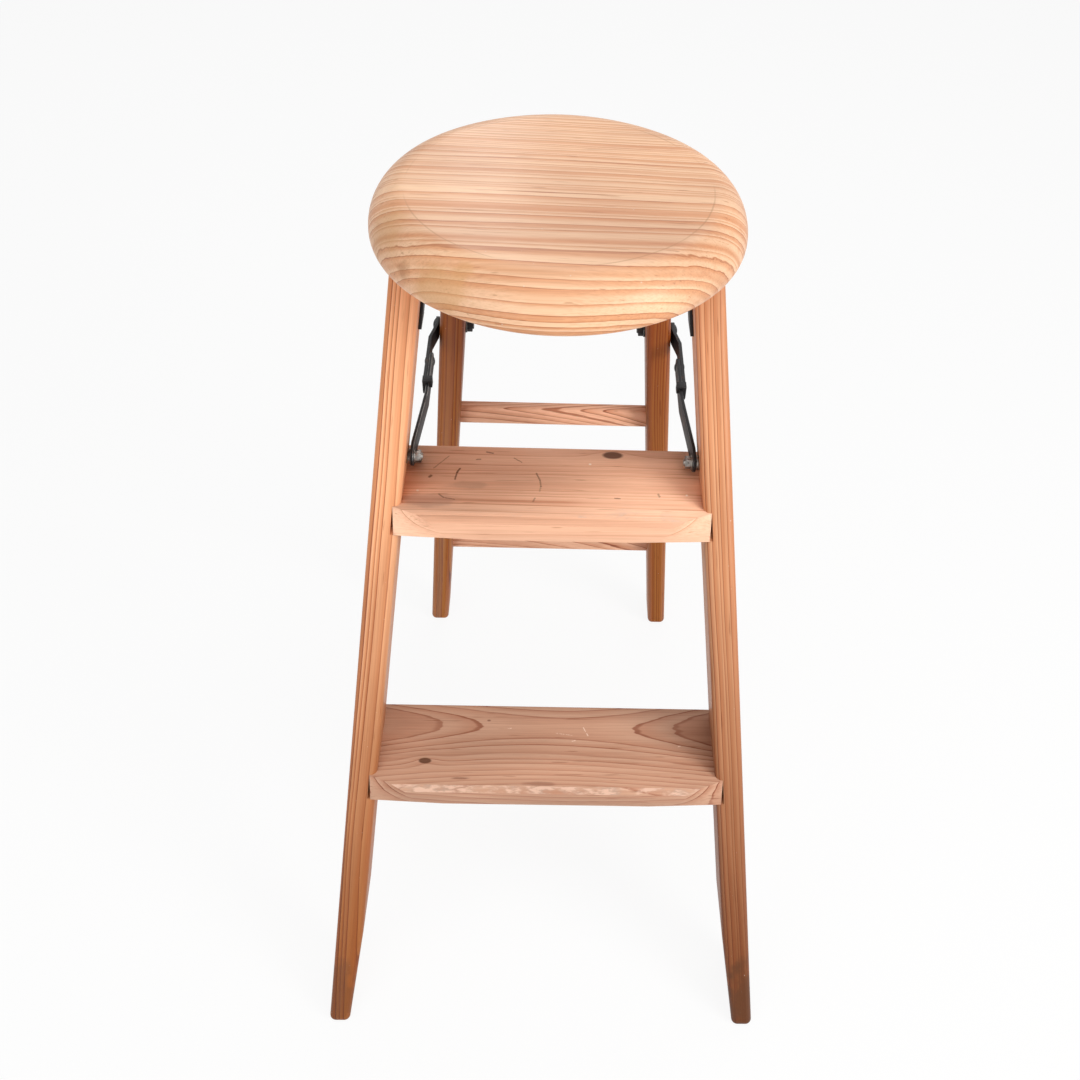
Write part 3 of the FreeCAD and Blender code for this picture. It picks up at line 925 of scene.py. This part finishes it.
@dataclass
class Hardware:
    """The screws and nuts of both frames.

    Attributes:
        screw_head: Radius of a countersunk head.
        screw_shank: Radius of a shank.
        slot_width: Width of the slot across a head.
        slot_depth: Depth of that slot.
        nut_height: Height of a nut.
        loose: Radius of a nut's hole to that of its bolt.
        sets: Lays the sets.
    """

    screw_head: float = 0.004
    screw_shank: float = 0.002
    slot_width: float = 0.0009
    slot_depth: float = 0.0009
    nut_height: float = 0.005
    loose: float = 1.02
    sets: FastenerSet = field(default_factory=FastenerSet)

    def screw(self, length: float) -> bpy.types.Object:
        """A slotted countersunk screw, head at the origin.

        Args:
            length: Its length.

        Returns:
            The pattern.
        """
        head, shank, sink, brim, tip = self.screw_head, self.screw_shank, 0.002, 0.0002, 0.004
        flat = 0.86 * head
        profile = [(0, 0), (flat, 0), (head, -brim), (shank, -sink)]
        profile += [(shank, -length + tip), (0.0, -length)]
        shape = lathe(profile, 24, Matrix())
        half, level = self.slot_width / 2, -1e-7
        top = [v for v in shape.verts if v.co.z > level]
        for face in list(shape.faces):
            if all(v in top for v in face.verts):
                shape.faces.remove(face)
        for vert in [v for v in shape.verts if not v.link_faces]:
            shape.verts.remove(vert)
        rim = [v for v in shape.verts if v.co.z > level]
        rim.sort(key=lambda v: math.atan2(v.co.y, v.co.x))
        reach = math.sqrt(flat**2 - half**2)
        marks = [Vector((s * reach, t * half, 0)) for s, t in ((1, -1), (1, 1), (-1, 1), (-1, -1))]
        corners = [shape.verts.new(mark) for mark in marks]
        floor = [shape.verts.new(mark - Vector((0, 0, self.slot_depth))) for mark in marks]
        upper = [v for v in rim if v.co.y > half]
        lower = [v for v in rim if v.co.y < -half]
        ends = [v for v in rim if abs(v.co.y) <= half]
        shape.faces.new([corners[1], *upper, corners[2]])
        shape.faces.new([corners[3], *lower, corners[0]])
        shape.faces.new(floor)
        for one, two in ((1, 2), (3, 0)):
            shape.faces.new([corners[one], corners[two], floor[two], floor[one]])
        for one, two in ((0, 1), (2, 3)):
            shape.faces.new([floor[one], floor[two], corners[two], corners[one]])
            near = [v for v in ends if (v.co.x > 0) == (one == 0)]
            near.sort(key=lambda v: v.co.y if one == 0 else -v.co.y)
            if near:
                shape.faces.new([corners[one], *near, corners[two]])
        self.close_rim(shape)
        bmesh.ops.recalc_face_normals(shape, faces=shape.faces)
        return self.pattern(shape, f"screw_{round(length * 1000)}")

    @staticmethod
    def close_rim(shape: bmesh.types.BMesh) -> None:
        """Fills the thin gaps between a head's flat and its slot.

        Args:
            shape: The working mesh.
        """
        open_edges = [e for e in shape.edges if len(e.link_faces) == 1]
        if open_edges:
            bmesh.ops.holes_fill(shape, edges=open_edges, sides=0)

    @staticmethod
    def pattern(shape: bmesh.types.BMesh, name: str) -> bpy.types.Object:
        """Keeps a fastener's shape as an object that isn't shown itself.

        Args:
            shape: The working mesh.
            name: The object's name.

        Returns:
            The object.
        """
        made = settled(shape, name)
        bpy.context.scene.collection.objects.unlink(made)
        return made

    def nut(self, flats: float, bore: float) -> bpy.types.Object:
        """A chamfered hexagonal nut, open where the bolt goes through, base at the origin.

        Args:
            flats: Width across the flats.
            bore: Radius of the hole.

        Returns:
            The pattern.
        """
        shape = bmesh.new()
        corner, sixth, turns = flats / math.sqrt(3), math.pi / 3, 24
        slim, low = 0.93, 0.07  # the chamfer's end radius and height, as shares of the nut's
        rows = []
        for share, height in ((slim, 0.0), (1.0, low), (1.0, 1.0 - low), (slim, 1.0)):
            radii = []
            for step in range(turns):
                fold = (math.tau * step / turns + sixth / 2) % sixth - sixth / 2
                hexagon = corner * math.cos(sixth / 2) / math.cos(fold)
                radii.append(min(hexagon, share * corner) if share < 1 else hexagon)
            rows.append(ring(shape, radii, height * self.nut_height))
        band(shape, rows)
        bored = []
        for row in (rows[0], rows[-1]):
            bored.append(ring(shape, [bore] * turns, row[0].co.z))
            band(shape, (row, bored[-1]))
        band(shape, bored)
        bmesh.ops.recalc_face_normals(shape, faces=shape.faces)
        return self.pattern(shape, f"nut_{round(flats * 1000)}")

    @staticmethod
    def spots(node: str, inward: Triple) -> list[tuple[Vector, Vector]]:
        """Where each fastener of a node starts and points.

        Args:
            node: The group's node.
            inward: Direction of a right-hand one, from head to tip.

        Returns:
            Head place and outward direction of each solid.
        """
        found = []
        for group in islands(node):
            middle = middle_of(group)
            way = Vector(inward).normalized()
            if middle.x < 0:
                way.x = -way.x
            start = min((point - middle).dot(way) for point in group)
            found.append((middle_on_axis(group, way) + way * start, -way))
        return found

    def build(self, zinc: bpy.types.Material, black: bpy.types.Material) -> None:
        """Lays every screw and nut and names the nodes they stand for.

        Args:
            zinc: Finish of the bright ones.
            black: Finish of the black ones.
        """
        plans = (
            ("tread_screws", (-1, 0, 0), 0.0416, "front_frame", zinc),
            ("stretcher_screws", (-1, 0, 0), 0.0396, "rear_frame", zinc),
            ("bracket_leg_screws", (1, 0, FRONT_SPLAY), 0.0186, "front_frame", zinc),
            ("bracket_seat_screws", (0, 0, 1), 0.0216, "front_frame", zinc),
        )
        for seed, (node, way, length, body, finish) in enumerate(plans):
            spots = self.spots(node, way)
            made = self.sets.lay(node + "_set", self.screw(length), spots, finish, seed + 3)
            stand_in(made, body, Metal.ZINC.value, node)
        nuts = (
            ("front_stay_nuts", 0.010, 0.003, "front_frame"),
            ("rear_stay_nuts", 0.010, 0.003, "rear_frame"),
            ("hinge_nuts", 0.013, 0.004, "front_frame"),
        )
        for seed, (node, flats, bore, body) in enumerate(nuts):
            spots = [(at - way * self.nut_height, way) for at, way in self.spots(node, (-1, 0, 0))]
            slot, finish = (Metal.BLACK, black) if node == "rear_stay_nuts" else (Metal.ZINC, zinc)
            pattern = self.nut(flats, bore * self.loose)
            made = self.sets.lay(node + "_set", pattern, spots, finish, seed + 11, 0.0)
            stand_in(made, body, slot.value, node)


def middle_on_axis(group: Sequence[Vector], way: Vector) -> Vector:
    """The middle of a round solid's outline, brought onto its own axis.

    Args:
        group: The solid's points.
        way: The direction of its axis.

    Returns:
        The middle.
    """
    middle = middle_of(group)
    across = [point - way * (point - middle).dot(way) for point in group]
    mean = sum(across, Vector((0, 0, 0))) / len(across)
    centre = middle_of(across)
    return centre if (centre - mean).length < 0.01 else mean


def stand_in(piece: bpy.types.Object, body: str, slot: str, *nodes: str) -> None:
    """Lets a piece ride on a body in place of some nodes, and reports it.

    Args:
        piece: The piece.
        body: The body it rides on.
        slot: The record's material slot; not used.
        nodes: The nodes it stands for.
    """
    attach(piece, body)
    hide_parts(*nodes)
    log.info("%s rides on %s for %s", piece.name, body, ", ".join(nodes))


def dress(piece: bpy.types.Object, finish: bpy.types.Material) -> None:
    """Gives a piece one material."""
    piece.data.materials.clear()
    piece.data.materials.append(finish)


@dataclass
class Seat:
    """The turned seat.

    Attributes:
        turns: Steps round the rim.
        wobble: How far the hand-sanded rim strays from the true curve.
        rim_start: How far from the middle the rim starts.
    """

    turns: int = 192
    wobble: float = 0.0004
    rim_start: float = 0.09

    def profile(self) -> list[tuple[float, float]]:
        """The outline from the underside over the rim to the top.

        Returns:
            Radius and height pairs.
        """
        low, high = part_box("seat")
        rim, deep = (high.x - low.x) / 2, high.z - low.z
        drop, under, flat = 0.031, 0.013, 0.1215
        side = deep - drop
        points = [(0.0, 0.0), (0.4 * rim, 0.0), (0.8 * rim, 0.0)]
        for step in range(9):
            angle = math.pi / 2 * step / 8
            points.append((rim - under + under * math.sin(angle), side - side * math.cos(angle)))
        for step in range(1, 17):
            angle = math.pi / 2 * step / 16
            bow = drop * math.sin(angle)
            points.append((flat + (rim - flat) * math.cos(angle), side + bow))
        for share in (0.97, 0.9, 0.75, 0.5, 0.25, 0.1):
            points.append((flat * share, deep))
        points.append((0.0, deep))
        return points

    def build(self, finish: bpy.types.Material) -> None:
        """Turns the seat and puts it in the solid's place.

        Args:
            finish: Its wood.
        """
        low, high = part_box("seat")
        middle = (low + high) / 2
        shape = lathe(self.profile(), self.turns, Matrix.Translation((middle.x, middle.y, low.z)))
        for vert in shape.verts:
            away = Vector((vert.co.x - middle.x, vert.co.y - middle.y))
            if away.length > self.rim_start and vert.co.z > low.z + 0.001:
                angle = math.atan2(away.y, away.x)
                dip = 0.5 + 0.3 * math.sin(3 * angle + 1.0) + 0.2 * math.sin(7 * angle)
                vert.co.z -= self.wobble * dip
        piece = settled(shape, "turned_seat", 60.0)
        dress(piece, finish)
        stand_in(piece, "front_frame", "seat_wood", "seat")


@dataclass
class Board:
    """A wooden board that keeps its solid's shape with its sharp edges eased.

    Attributes:
        node: The solid it stands for.
        body: What it rides on.
        slot: The record's material slot.
        timber: Its wood.
        ease: Width of the eased edges.
    """

    node: str
    body: str
    slot: str
    timber: Timber
    ease: float = 0.0011

    def build(self) -> None:
        """Builds the board."""
        shape = merged(self.node)
        eased(shape, self.ease)
        piece = settled(shape, self.node + "_board")
        dress(piece, self.timber.material())
        stand_in(piece, self.body, self.slot, self.node)


def legs_wood(side: Side, name: str, front: bool) -> Timber:
    """Wood of one leg: a flat-sawn fir board with its rings seen end to end on its edge.

    Args:
        side: The leg's side.
        name: The material's name.
        front: Whether it is a front leg.

    Returns:
        The wood.
    """
    right = side is Side.RIGHT
    common = {"name": name, "late": (0.74, 0.50, 0.36), "line": (0.27, 0.11, 0.06), "wave": 0.0050}
    common.update(gloss=0.42, coat=0.12, worn=0.45, contrast=1.0)
    if not front:
        # Darker at the top than towards the floor: the dark early colour at the top is painted shade
        # under the seat.
        return Timber(
            pith=(side.value * 0.225, 0.17 - 0.06 * side.value, 0.62),
            grain=(-side.value * REAR_SPLAY, -REAR_LEAN, 1.0),
            early=(0.31, 0.092, 0.022), ring=0.0040, bare=(0.55, 0.27, 0.13),
            lower=(0.43, 0.150, 0.030), tint_and_shade_heights=(0.30, 0.66), seed=0.37 * side.value + 2.1, **common,
        )
    size, brown = (0.034, 0.034, 0.085), (0.105, 0.036, 0.012)
    stains = [Stain((side.value * 0.203, -0.284, 0.0), size, brown, 0.85 if right else 0.40, 0.9)]
    if not right:
        size, white = (0.0022, 0.004, 0.0034), (0.90, 0.88, 0.84)
        stains.insert(0, Stain((-0.1522, -0.062, 0.438), size, white, 1.0, 0.3))
    return Timber(
        pith=(side.value * 0.235, 0.05 - 0.06 * side.value, 0.62),
        grain=(-side.value * FRONT_SPLAY, FRONT_LEAN, 1.0),
        early=(0.82, 0.42, 0.225), ring=0.0048, bare=(0.78, 0.44, 0.26),
        lower=(0.19, 0.055, 0.012) if right else (0.33, 0.105, 0.020), tint_and_shade_heights=(0.05, 0.62),
        stains=tuple(stains), seed=0.37 * side.value + 0.9, **common,
    )


def scratches(height: float, runs: Sequence[tuple], **look: Triple) -> tuple[Stroke, ...]:
    """Strokes on a level face.

    Args:
        height: The face's height in metres.
        runs: Start, end and half width in millimetres, and depth.
        look: The strokes' colour, where it isn't the usual one.

    Returns:
        The strokes.
    """
    made = []
    for (a, b), (c, d), wide, deep in runs:
        start, end = (a / 1000, b / 1000, height), (c / 1000, d / 1000, height)
        made.append(Stroke(start, end, wide / 1000, deep, **look))
    return tuple(made)


@dataclass
class FrontFrame:
    """Front legs, treads and seat.

    Attributes:
        tread_early: Pale wood of the treads; the lower one is darker.
        tread_late: Tint of the slowly darkening part of their rings.
    """

    tread_early: Triple = (0.90, 0.525, 0.355)
    tread_late: Triple = (0.80, 0.62, 0.54)

    def tread(self, name: str, low: bool) -> Timber:
        """Wood of one tread: flat-sawn, with the heart side's arches towards the back.

        Args:
            name: The material's name.
            low: Whether it is the lower tread.

        Returns:
            The wood.
        """
        lower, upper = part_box("tread_lower" if low else "tread_upper")
        front, top = lower.y, upper.z
        common = {"name": name, "late": self.tread_late, "gloss": 0.50, "coat": 0.06}
        common.update(bare=(0.74, 0.49, 0.37), worn=0.7, endwise=1.0)
        if low:
            return Timber(
                pith=(0.015, front + 0.072, top - 0.0564), grain=(1.0, 0.01, 0.012),
                early=tuple(0.69 * part for part in self.tread_early), line=(0.50, 0.31, 0.25),
                ring=0.0037, bow=-0.34, wave=0.0035, contrast=0.80, nose=0.65, seed=4.4,
                knots=(Knot((-0.1146, -0.1617, LOWER_TOP), 0.0034),),
                strokes=self.lower_strokes(), stains=self.lower_stains(), **common,
            )
        return Timber(
            pith=(0.015, front + 0.130, top - 0.090), grain=(1.0, 0.01, 0.02),
            early=self.tread_early, line=(0.62, 0.41, 0.32),
            ring=0.0064, bow=-0.05, wave=0.0030, contrast=0.48, nose=0.35, seed=6.1,
            knots=(Knot((0.0534, 0.0099, UPPER_TOP), 0.0052),),
            strokes=self.upper_strokes(), stains=self.upper_stains(), **common,
        )

    @staticmethod
    def upper_strokes() -> tuple[Stroke, ...]:
        """Dents and scratches on the upper tread.

        Returns:
            The strokes.
        """
        runs = (
            ((-93.5, 3.7), (-105.7, -13.3), 0.8, 0.45), ((-82.7, -13.4), (-84.8, -18.6), 1.3, 0.85),
            ((-84.8, -18.6), (-86.1, -28.0), 1.1, 0.75),
            ((-14.8, -17.6), (-11.5, -26.9), 1.1, 0.60),
            ((-11.5, -26.9), (-10.6, -35.1), 1.0, 0.50),
            ((-10.6, -35.1), (-11.6, -41.5), 1.2, 0.30),
            ((-59.9, 10.5), (-54.5, 9.1), 1.4, 0.65), ((-68.6, -0.2), (-65.2, 0.2), 1.2, 0.60),
            ((-35.2, 2.8), (-28.2, -2.7), 0.9, 0.55), ((-108.5, -25.3), (-107.3, -23.8), 2.0, 0.75),
            ((-98.6, -48.1), (-94.5, -52.2), 1.1, 0.55),
            ((-94.5, -52.2), (-84.7, -54.7), 0.9, 0.45),
            ((-15.6, -51.0), (-17.0, -55.3), 1.2, 0.40), ((54.0, -48.7), (58.2, -49.1), 1.0, 0.60),
            ((91.8, -42.3), (92.9, -45.4), 1.3, 0.45),
        )
        return scratches(UPPER_TOP, runs)

    @staticmethod
    def upper_stains() -> tuple[Stain, ...]:
        """A grey rubbed place and a few pale chips on the upper tread.

        Returns:
            The stains.
        """
        z, pale = UPPER_TOP, (0.95, 0.80, 0.68)
        spots = ((-0.1173, -0.0439), (0.1168, -0.0429), (0.0329, -0.0033))
        size = (0.0014, 0.0014, 0.003)
        chips = tuple(Stain((x, y, z), size, pale, 0.80, 0.3) for x, y in spots)
        rubbed = Stain((-0.074, -0.035, z), (0.020, 0.005, 0.004), (0.42, 0.25, 0.17), 0.35)
        shade = Stain((-0.105, -0.056, z), (0.028, 0.010, 0.004), (0.48, 0.27, 0.20), 0.45)
        return (*chips, rubbed, shade)

    @staticmethod
    def lower_stains() -> tuple[Stain, ...]:
        """Dark smears along the front of the lower tread.

        Returns:
            The stains.
        """
        brown = (0.22, 0.09, 0.055)
        smears = (
            (-0.0800, -0.1810, 0.010, 0.0016, 0.7, 0.4),
            (-0.0050, -0.1860, 0.016, 0.0030, 0.45, 0.5),
            (-0.0569, -0.1131, 0.0022, 0.0014, 0.8, 0.3),
        )
        return tuple(
            Stain((x, y, LOWER_TOP), (wide, deep, 0.003), brown, share, ragged)
            for x, y, wide, deep, share, ragged in smears
        )

    @staticmethod
    def lower_strokes() -> tuple[Stroke, ...]:
        """Pale scratches on the lower tread.

        Returns:
            The strokes.
        """
        runs = (
            ((34.5, -119.9), (36.5, -124.5), 0.6, 0.75),
            ((37.5, -127.0), (39.0, -129.5), 0.7, 0.75),
            ((23.8, -136.4), (26.4, -135.6), 0.7, 0.75),
            ((125.0, -140.9), (127.4, -140.2), 0.6, 0.75),
            ((-38.0, -122.5), (-35.0, -122.0), 0.4, 0.75),
            ((8.0, -127.0), (24.0, -129.5), 0.3, 0.75),
        )
        return scratches(LOWER_TOP, runs, colour=(0.88, 0.66, 0.52))

    def seat_wood(self) -> Timber:
        """Wood of the seat: fine lines at the back, wide arches towards the front.

        Returns:
            The wood.
        """
        low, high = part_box("seat")
        middle = (low + high) / 2
        return Timber(
            name="seat_timber", pith=(0.03, middle.y - 0.160, high.z - 0.090),
            grain=(1.0, -0.05, 0.03),
            early=(0.92, 0.560, 0.350), late=(0.76, 0.52, 0.38), line=(0.50, 0.30, 0.20),
            ring=0.017, crowd=320.0, wave=0.0050, sharp=0.89, gloss=0.40, sheen=0.22, coat=0.14,
            bare=(0.92, 0.68, 0.46), worn=0.2, contrast=1.0, seed=1.3,
            stains=self.seat_stains(middle, high.z), scribe=((middle.x, middle.y, 0.0), 0.1215),
        )

    @staticmethod
    def seat_stains(middle: Vector, top: float) -> tuple[Stain, ...]:
        """Ochre and brown patches on the left of the rim, and a pale strip at the back.

        Args:
            middle: The middle of the seat.
            top: The height of its top.

        Returns:
            The stains.
        """
        ochre, brown = (0.62, 0.32, 0.12), (0.34, 0.12, 0.035)
        plans = (
            ((-0.124, -0.058, -0.016), (0.026, 0.026, 0.020), ochre, 0.38, 0.6),
            ((-0.080, -0.118, -0.022), (0.050, 0.020, 0.020), ochre, 0.45, 0.7),
            ((-0.104, -0.096, -0.024), (0.016, 0.009, 0.010), brown, 0.50, 0.9),
            ((-0.088, -0.110, -0.026), (0.012, 0.005, 0.008), brown, 0.50, 0.9),
            ((0.020, 0.143, -0.006), (0.040, 0.005, 0.012), (0.95, 0.78, 0.56), 0.6, 0.2),
        )
        return tuple(
            Stain((middle.x + at[0], middle.y + at[1], top + at[2]), size, colour, share, ragged)
            for at, size, colour, share, ragged in plans
        )

    def build(self) -> None:
        """Builds the front frame's wood."""
        Seat().build(self.seat_wood().material())
        for side in Side:
            node = "front_leg_" + side.word
            wood = legs_wood(side, node + "_timber", True)
            Board(node, "front_frame", "leg_wood", wood).build()
        for low in (True, False):
            node = "tread_lower" if low else "tread_upper"
            wood = self.tread(node + "_timber", low)
            Board(node, "front_frame", "tread_wood", wood, 0.0009).build()


@dataclass
class RearFrame:
    """Rear legs and stretchers.

    Attributes:
        early: Pale wood of the stretchers.
        late: Tint of the slowly darkening part of their rings.
    """

    early: Triple = (0.84, 0.48, 0.32)
    late: Triple = (0.74, 0.55, 0.46)

    def rail(self, node: str) -> Timber:
        """Wood of one stretcher, with slanting arches on its face.

        Args:
            node: The stretcher's node.

        Returns:
            The wood.
        """
        low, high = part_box(node)
        return Timber(
            name=node + "_timber", pith=(0.0, low.y - 0.035, high.z + 0.02),
            grain=(1.0, 0.09, -0.05), early=self.early, late=self.late, ring=0.0060, bow=0.9,
            wave=0.006, gloss=0.5, coat=0.06, bare=(0.84, 0.54, 0.36), worn=0.4, contrast=0.9,
            seed=high.z * 9,
        )

    def build(self) -> None:
        """Builds the rear frame's wood."""
        for side in Side:
            node = "rear_leg_" + side.word
            wood = legs_wood(side, node + "_timber", False)
            Board(node, "rear_frame", "leg_wood", wood).build()
        for node in ("rear_stretcher_upper", "rear_stretcher_lower"):
            Board(node, "rear_frame", "leg_wood", self.rail(node), 0.0008).build()


@dataclass
class Fittings:
    """Brackets, stays, bolts and washers.

    Attributes:
        ease: Width of the eased edges of the flat bar.
        least: Edges that turn by less than this many degrees stay sharp.
    """

    ease: float = 0.0005
    least: float = 30.0

    def metal(self, node: str, body: str, slot: Metal, finish: bpy.types.Material) -> None:
        """Builds one steel piece from its solid, with eased edges.

        Args:
            node: The piece's node.
            body: The body it rides on.
            slot: Its metal.
            finish: Its material.
        """
        shape = merged(node)
        eased(shape, self.ease, self.least)
        piece = settled(shape, node + "_steel")
        dress(piece, finish)
        stand_in(piece, body, slot.value, node)

    def build(self, zinc: bpy.types.Material, black: bpy.types.Material) -> None:
        """Builds every steel piece that isn't laid as a set.

        Args:
            zinc: Finish of the bright ones.
            black: Finish of the black ones.
        """
        for side in Side:
            end = "_" + side.word
            riders = (
                ("seat_bracket", "front_frame"), ("stay_lower_arm", "lower_arm" + end),
                ("stay_upper_arm", "upper_arm" + end), ("knee_rivet_inner", "lower_arm" + end),
                ("knee_rivet_outer", "upper_arm" + end),
            )
            for node, body in riders:
                self.metal(node + end, body, Metal.BLACK, black)
        bright = ("front_stay_bolts", "front_stay_washers", "hinge_washers", "hinge_spacers")
        for node in (*bright, "hinge_bolts"):
            self.metal(node, "front_frame", Metal.ZINC, zinc)
        for node in ("rear_stay_bolts", "rear_stay_washers"):
            self.metal(node, "rear_frame", Metal.BLACK, black)


@dataclass
class Lamp:
    """A soft light.

    Attributes:
        name: Its name.
        place: Where it hangs.
        aim: What it points at.
        size: Its width.
        power: Its strength in watts.
        colour: Its colour.
        tall: Its height where it isn't square.
    """

    name: str
    place: Triple
    aim: Triple
    size: float
    power: float
    colour: Triple = (1.0, 1.0, 1.0)
    tall: Optional[float] = None

    def hang(self) -> None:
        """Adds the light to the scene."""
        data = bpy.data.lights.new(self.name, "AREA")
        data.size = self.size
        if self.tall:
            data.shape = "RECTANGLE"
            data.size_y = self.tall
        data.energy = self.power
        data.color = self.colour
        lamp = bpy.data.objects.new(self.name, data)
        lamp.location = self.place
        way = Vector(self.aim) - Vector(self.place)
        lamp.rotation_euler = way.to_track_quat("-Z", "Y").to_euler()
        bpy.context.scene.collection.objects.link(lamp)


@dataclass
class Studio:
    """Floor, lights and camera.

    Attributes:
        eye: Where the camera stands.
        ahead: The way it looks.
        right: The way to its right.
        lens: Focal length for a 36 mm wide image.
        shift: How far the image's middle is off the lens axis.
        glow: How much of the floor is plain white to the camera.
        daylight: Strength of the grey sky.
    """

    eye: Triple = (-0.005055, -0.808512, 1.153437)
    ahead: Triple = (0.02685, 0.69938, -0.71425)
    right: Triple = (0.99944, -0.00448, 0.03319)
    lens: float = 38.7166
    shift: tuple[float, float] = (-0.033738, 0.043759)
    glow: float = 0.90
    daylight: float = 0.42

    def camera(self) -> None:
        """Sets the camera up."""
        data = bpy.data.cameras.new("camera")
        data.sensor_width = 36.0
        data.lens = self.lens
        data.shift_x, data.shift_y = self.shift
        data.clip_start, data.clip_end = 0.02, 60.0
        data.dof.use_dof = False
        back = -Vector(self.ahead).normalized()
        right = Vector(self.right).normalized()
        up = back.cross(right)
        camera = bpy.data.objects.new("camera", data)
        turn = Matrix((right, up, back)).transposed().to_4x4()
        camera.matrix_world = Matrix.Translation(self.eye) @ turn
        bpy.context.scene.collection.objects.link(camera)
        bpy.context.scene.camera = camera

    @staticmethod
    def seen(tree: bpy.types.NodeTree) -> Any:
        """Tells where the camera, a mirror or glass sees the surface.

        Args:
            tree: The node tree.

        Returns:
            A socket that is 1 there.
        """
        path = add_node(tree, "ShaderNodeLightPath").outputs
        total = path["Is Camera Ray"]
        for ray in ("Is Glossy Ray", "Is Transmission Ray"):
            settings = {"operation": "MAXIMUM"}
            total = add_node(tree, "ShaderNodeMath", settings, {0: total, 1: path[ray]}).outputs[0]
        return total

    def floor(self) -> None:
        """A wide pale floor that keeps the stool's shadow."""
        mesh = bpy.data.meshes.new("floor")
        half = 14.0
        edge = [(-half, -half, 0), (half, -half, 0), (half, half, 0), (-half, half, 0)]
        mesh.from_pydata(edge, [], [(0, 1, 2, 3)])
        floor = new_object("floor", mesh)
        material = bpy.data.materials.new("floor_paint")
        material.use_nodes = True
        tree = material.node_tree
        tree.nodes.clear()
        paint = add_node(tree, "ShaderNodeBsdfDiffuse", {}, {"Color": (0.86, 0.86, 0.86)})
        white = add_node(tree, "ShaderNodeEmission", {}, {"Strength": 1.0})
        settings = {"operation": "MULTIPLY"}
        share = add_node(tree, "ShaderNodeMath", settings, {0: self.seen(tree), 1: self.glow})
        shaders = {0: share.outputs[0], 1: paint.outputs[0], 2: white.outputs[0]}
        both = add_node(tree, "ShaderNodeMixShader", {}, shaders)
        add_node(tree, "ShaderNodeOutputMaterial", {}, {"Surface": both.outputs[0]})
        mesh.materials.append(material)

    def sky(self) -> None:
        """White to the camera, soft grey as a light."""
        world = bpy.data.worlds.new("sky")
        bpy.context.scene.world = world
        world.use_nodes = True
        tree = world.node_tree
        tree.nodes.clear()
        dome = add_node(tree, "ShaderNodeBackground", {}, {"Strength": self.daylight})
        white = add_node(tree, "ShaderNodeBackground", {}, {"Color": (1, 1, 1)})
        shaders = {0: self.seen(tree), 1: dome.outputs[0], 2: white.outputs[0]}
        both = add_node(tree, "ShaderNodeMixShader", {}, shaders)
        add_node(tree, "ShaderNodeOutputWorld", {}, {"Surface": both.outputs[0]})

    def build(self) -> None:
        """Sets the whole studio up."""
        bpy.context.scene.view_settings.view_transform = "Standard"
        self.camera()
        self.floor()
        self.sky()
        Lamp("key", (2.0, -1.5, 1.45), (0, 0, 0.45), 1.2, 46.0, (1.0, 0.985, 0.96)).hang()
        Lamp("top", (0.2, -0.6, 2.6), (0, 0, 0.5), 1.5, 17.0).hang()
        Lamp("fill", (-1.4, -2.0, 1.0), (0, 0, 0.4), 1.6, 19.0).hang()
        Lamp("back", (0.6, 2.0, 2.9), (0, 0, 0.5), 1.2, 12.0).hang()
        Lamp("window", (-0.19, 2.0, 1.72), (0, 0, 0.7), 0.20, 3.2, tall=0.8).hang()


def corners(box: tuple[Vector, Vector]) -> list[list[float]]:
    """A box as plain lists."""
    return [[float(c) for c in corner] for corner in box]


def main() -> None:
    """Builds the stool's looks in order and reports each piece."""
    logging.basicConfig(level=logging.INFO, format="%(name)s: %(message)s")
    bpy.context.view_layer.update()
    zinc = ZincSteel().material()
    black = BlackSteel().material()
    FrontFrame().build()
    RearFrame().build()
    Fittings().build(zinc, black)
    Hardware().build(zinc, black)
    Studio().build()


if __name__ == "__main__":
    main()
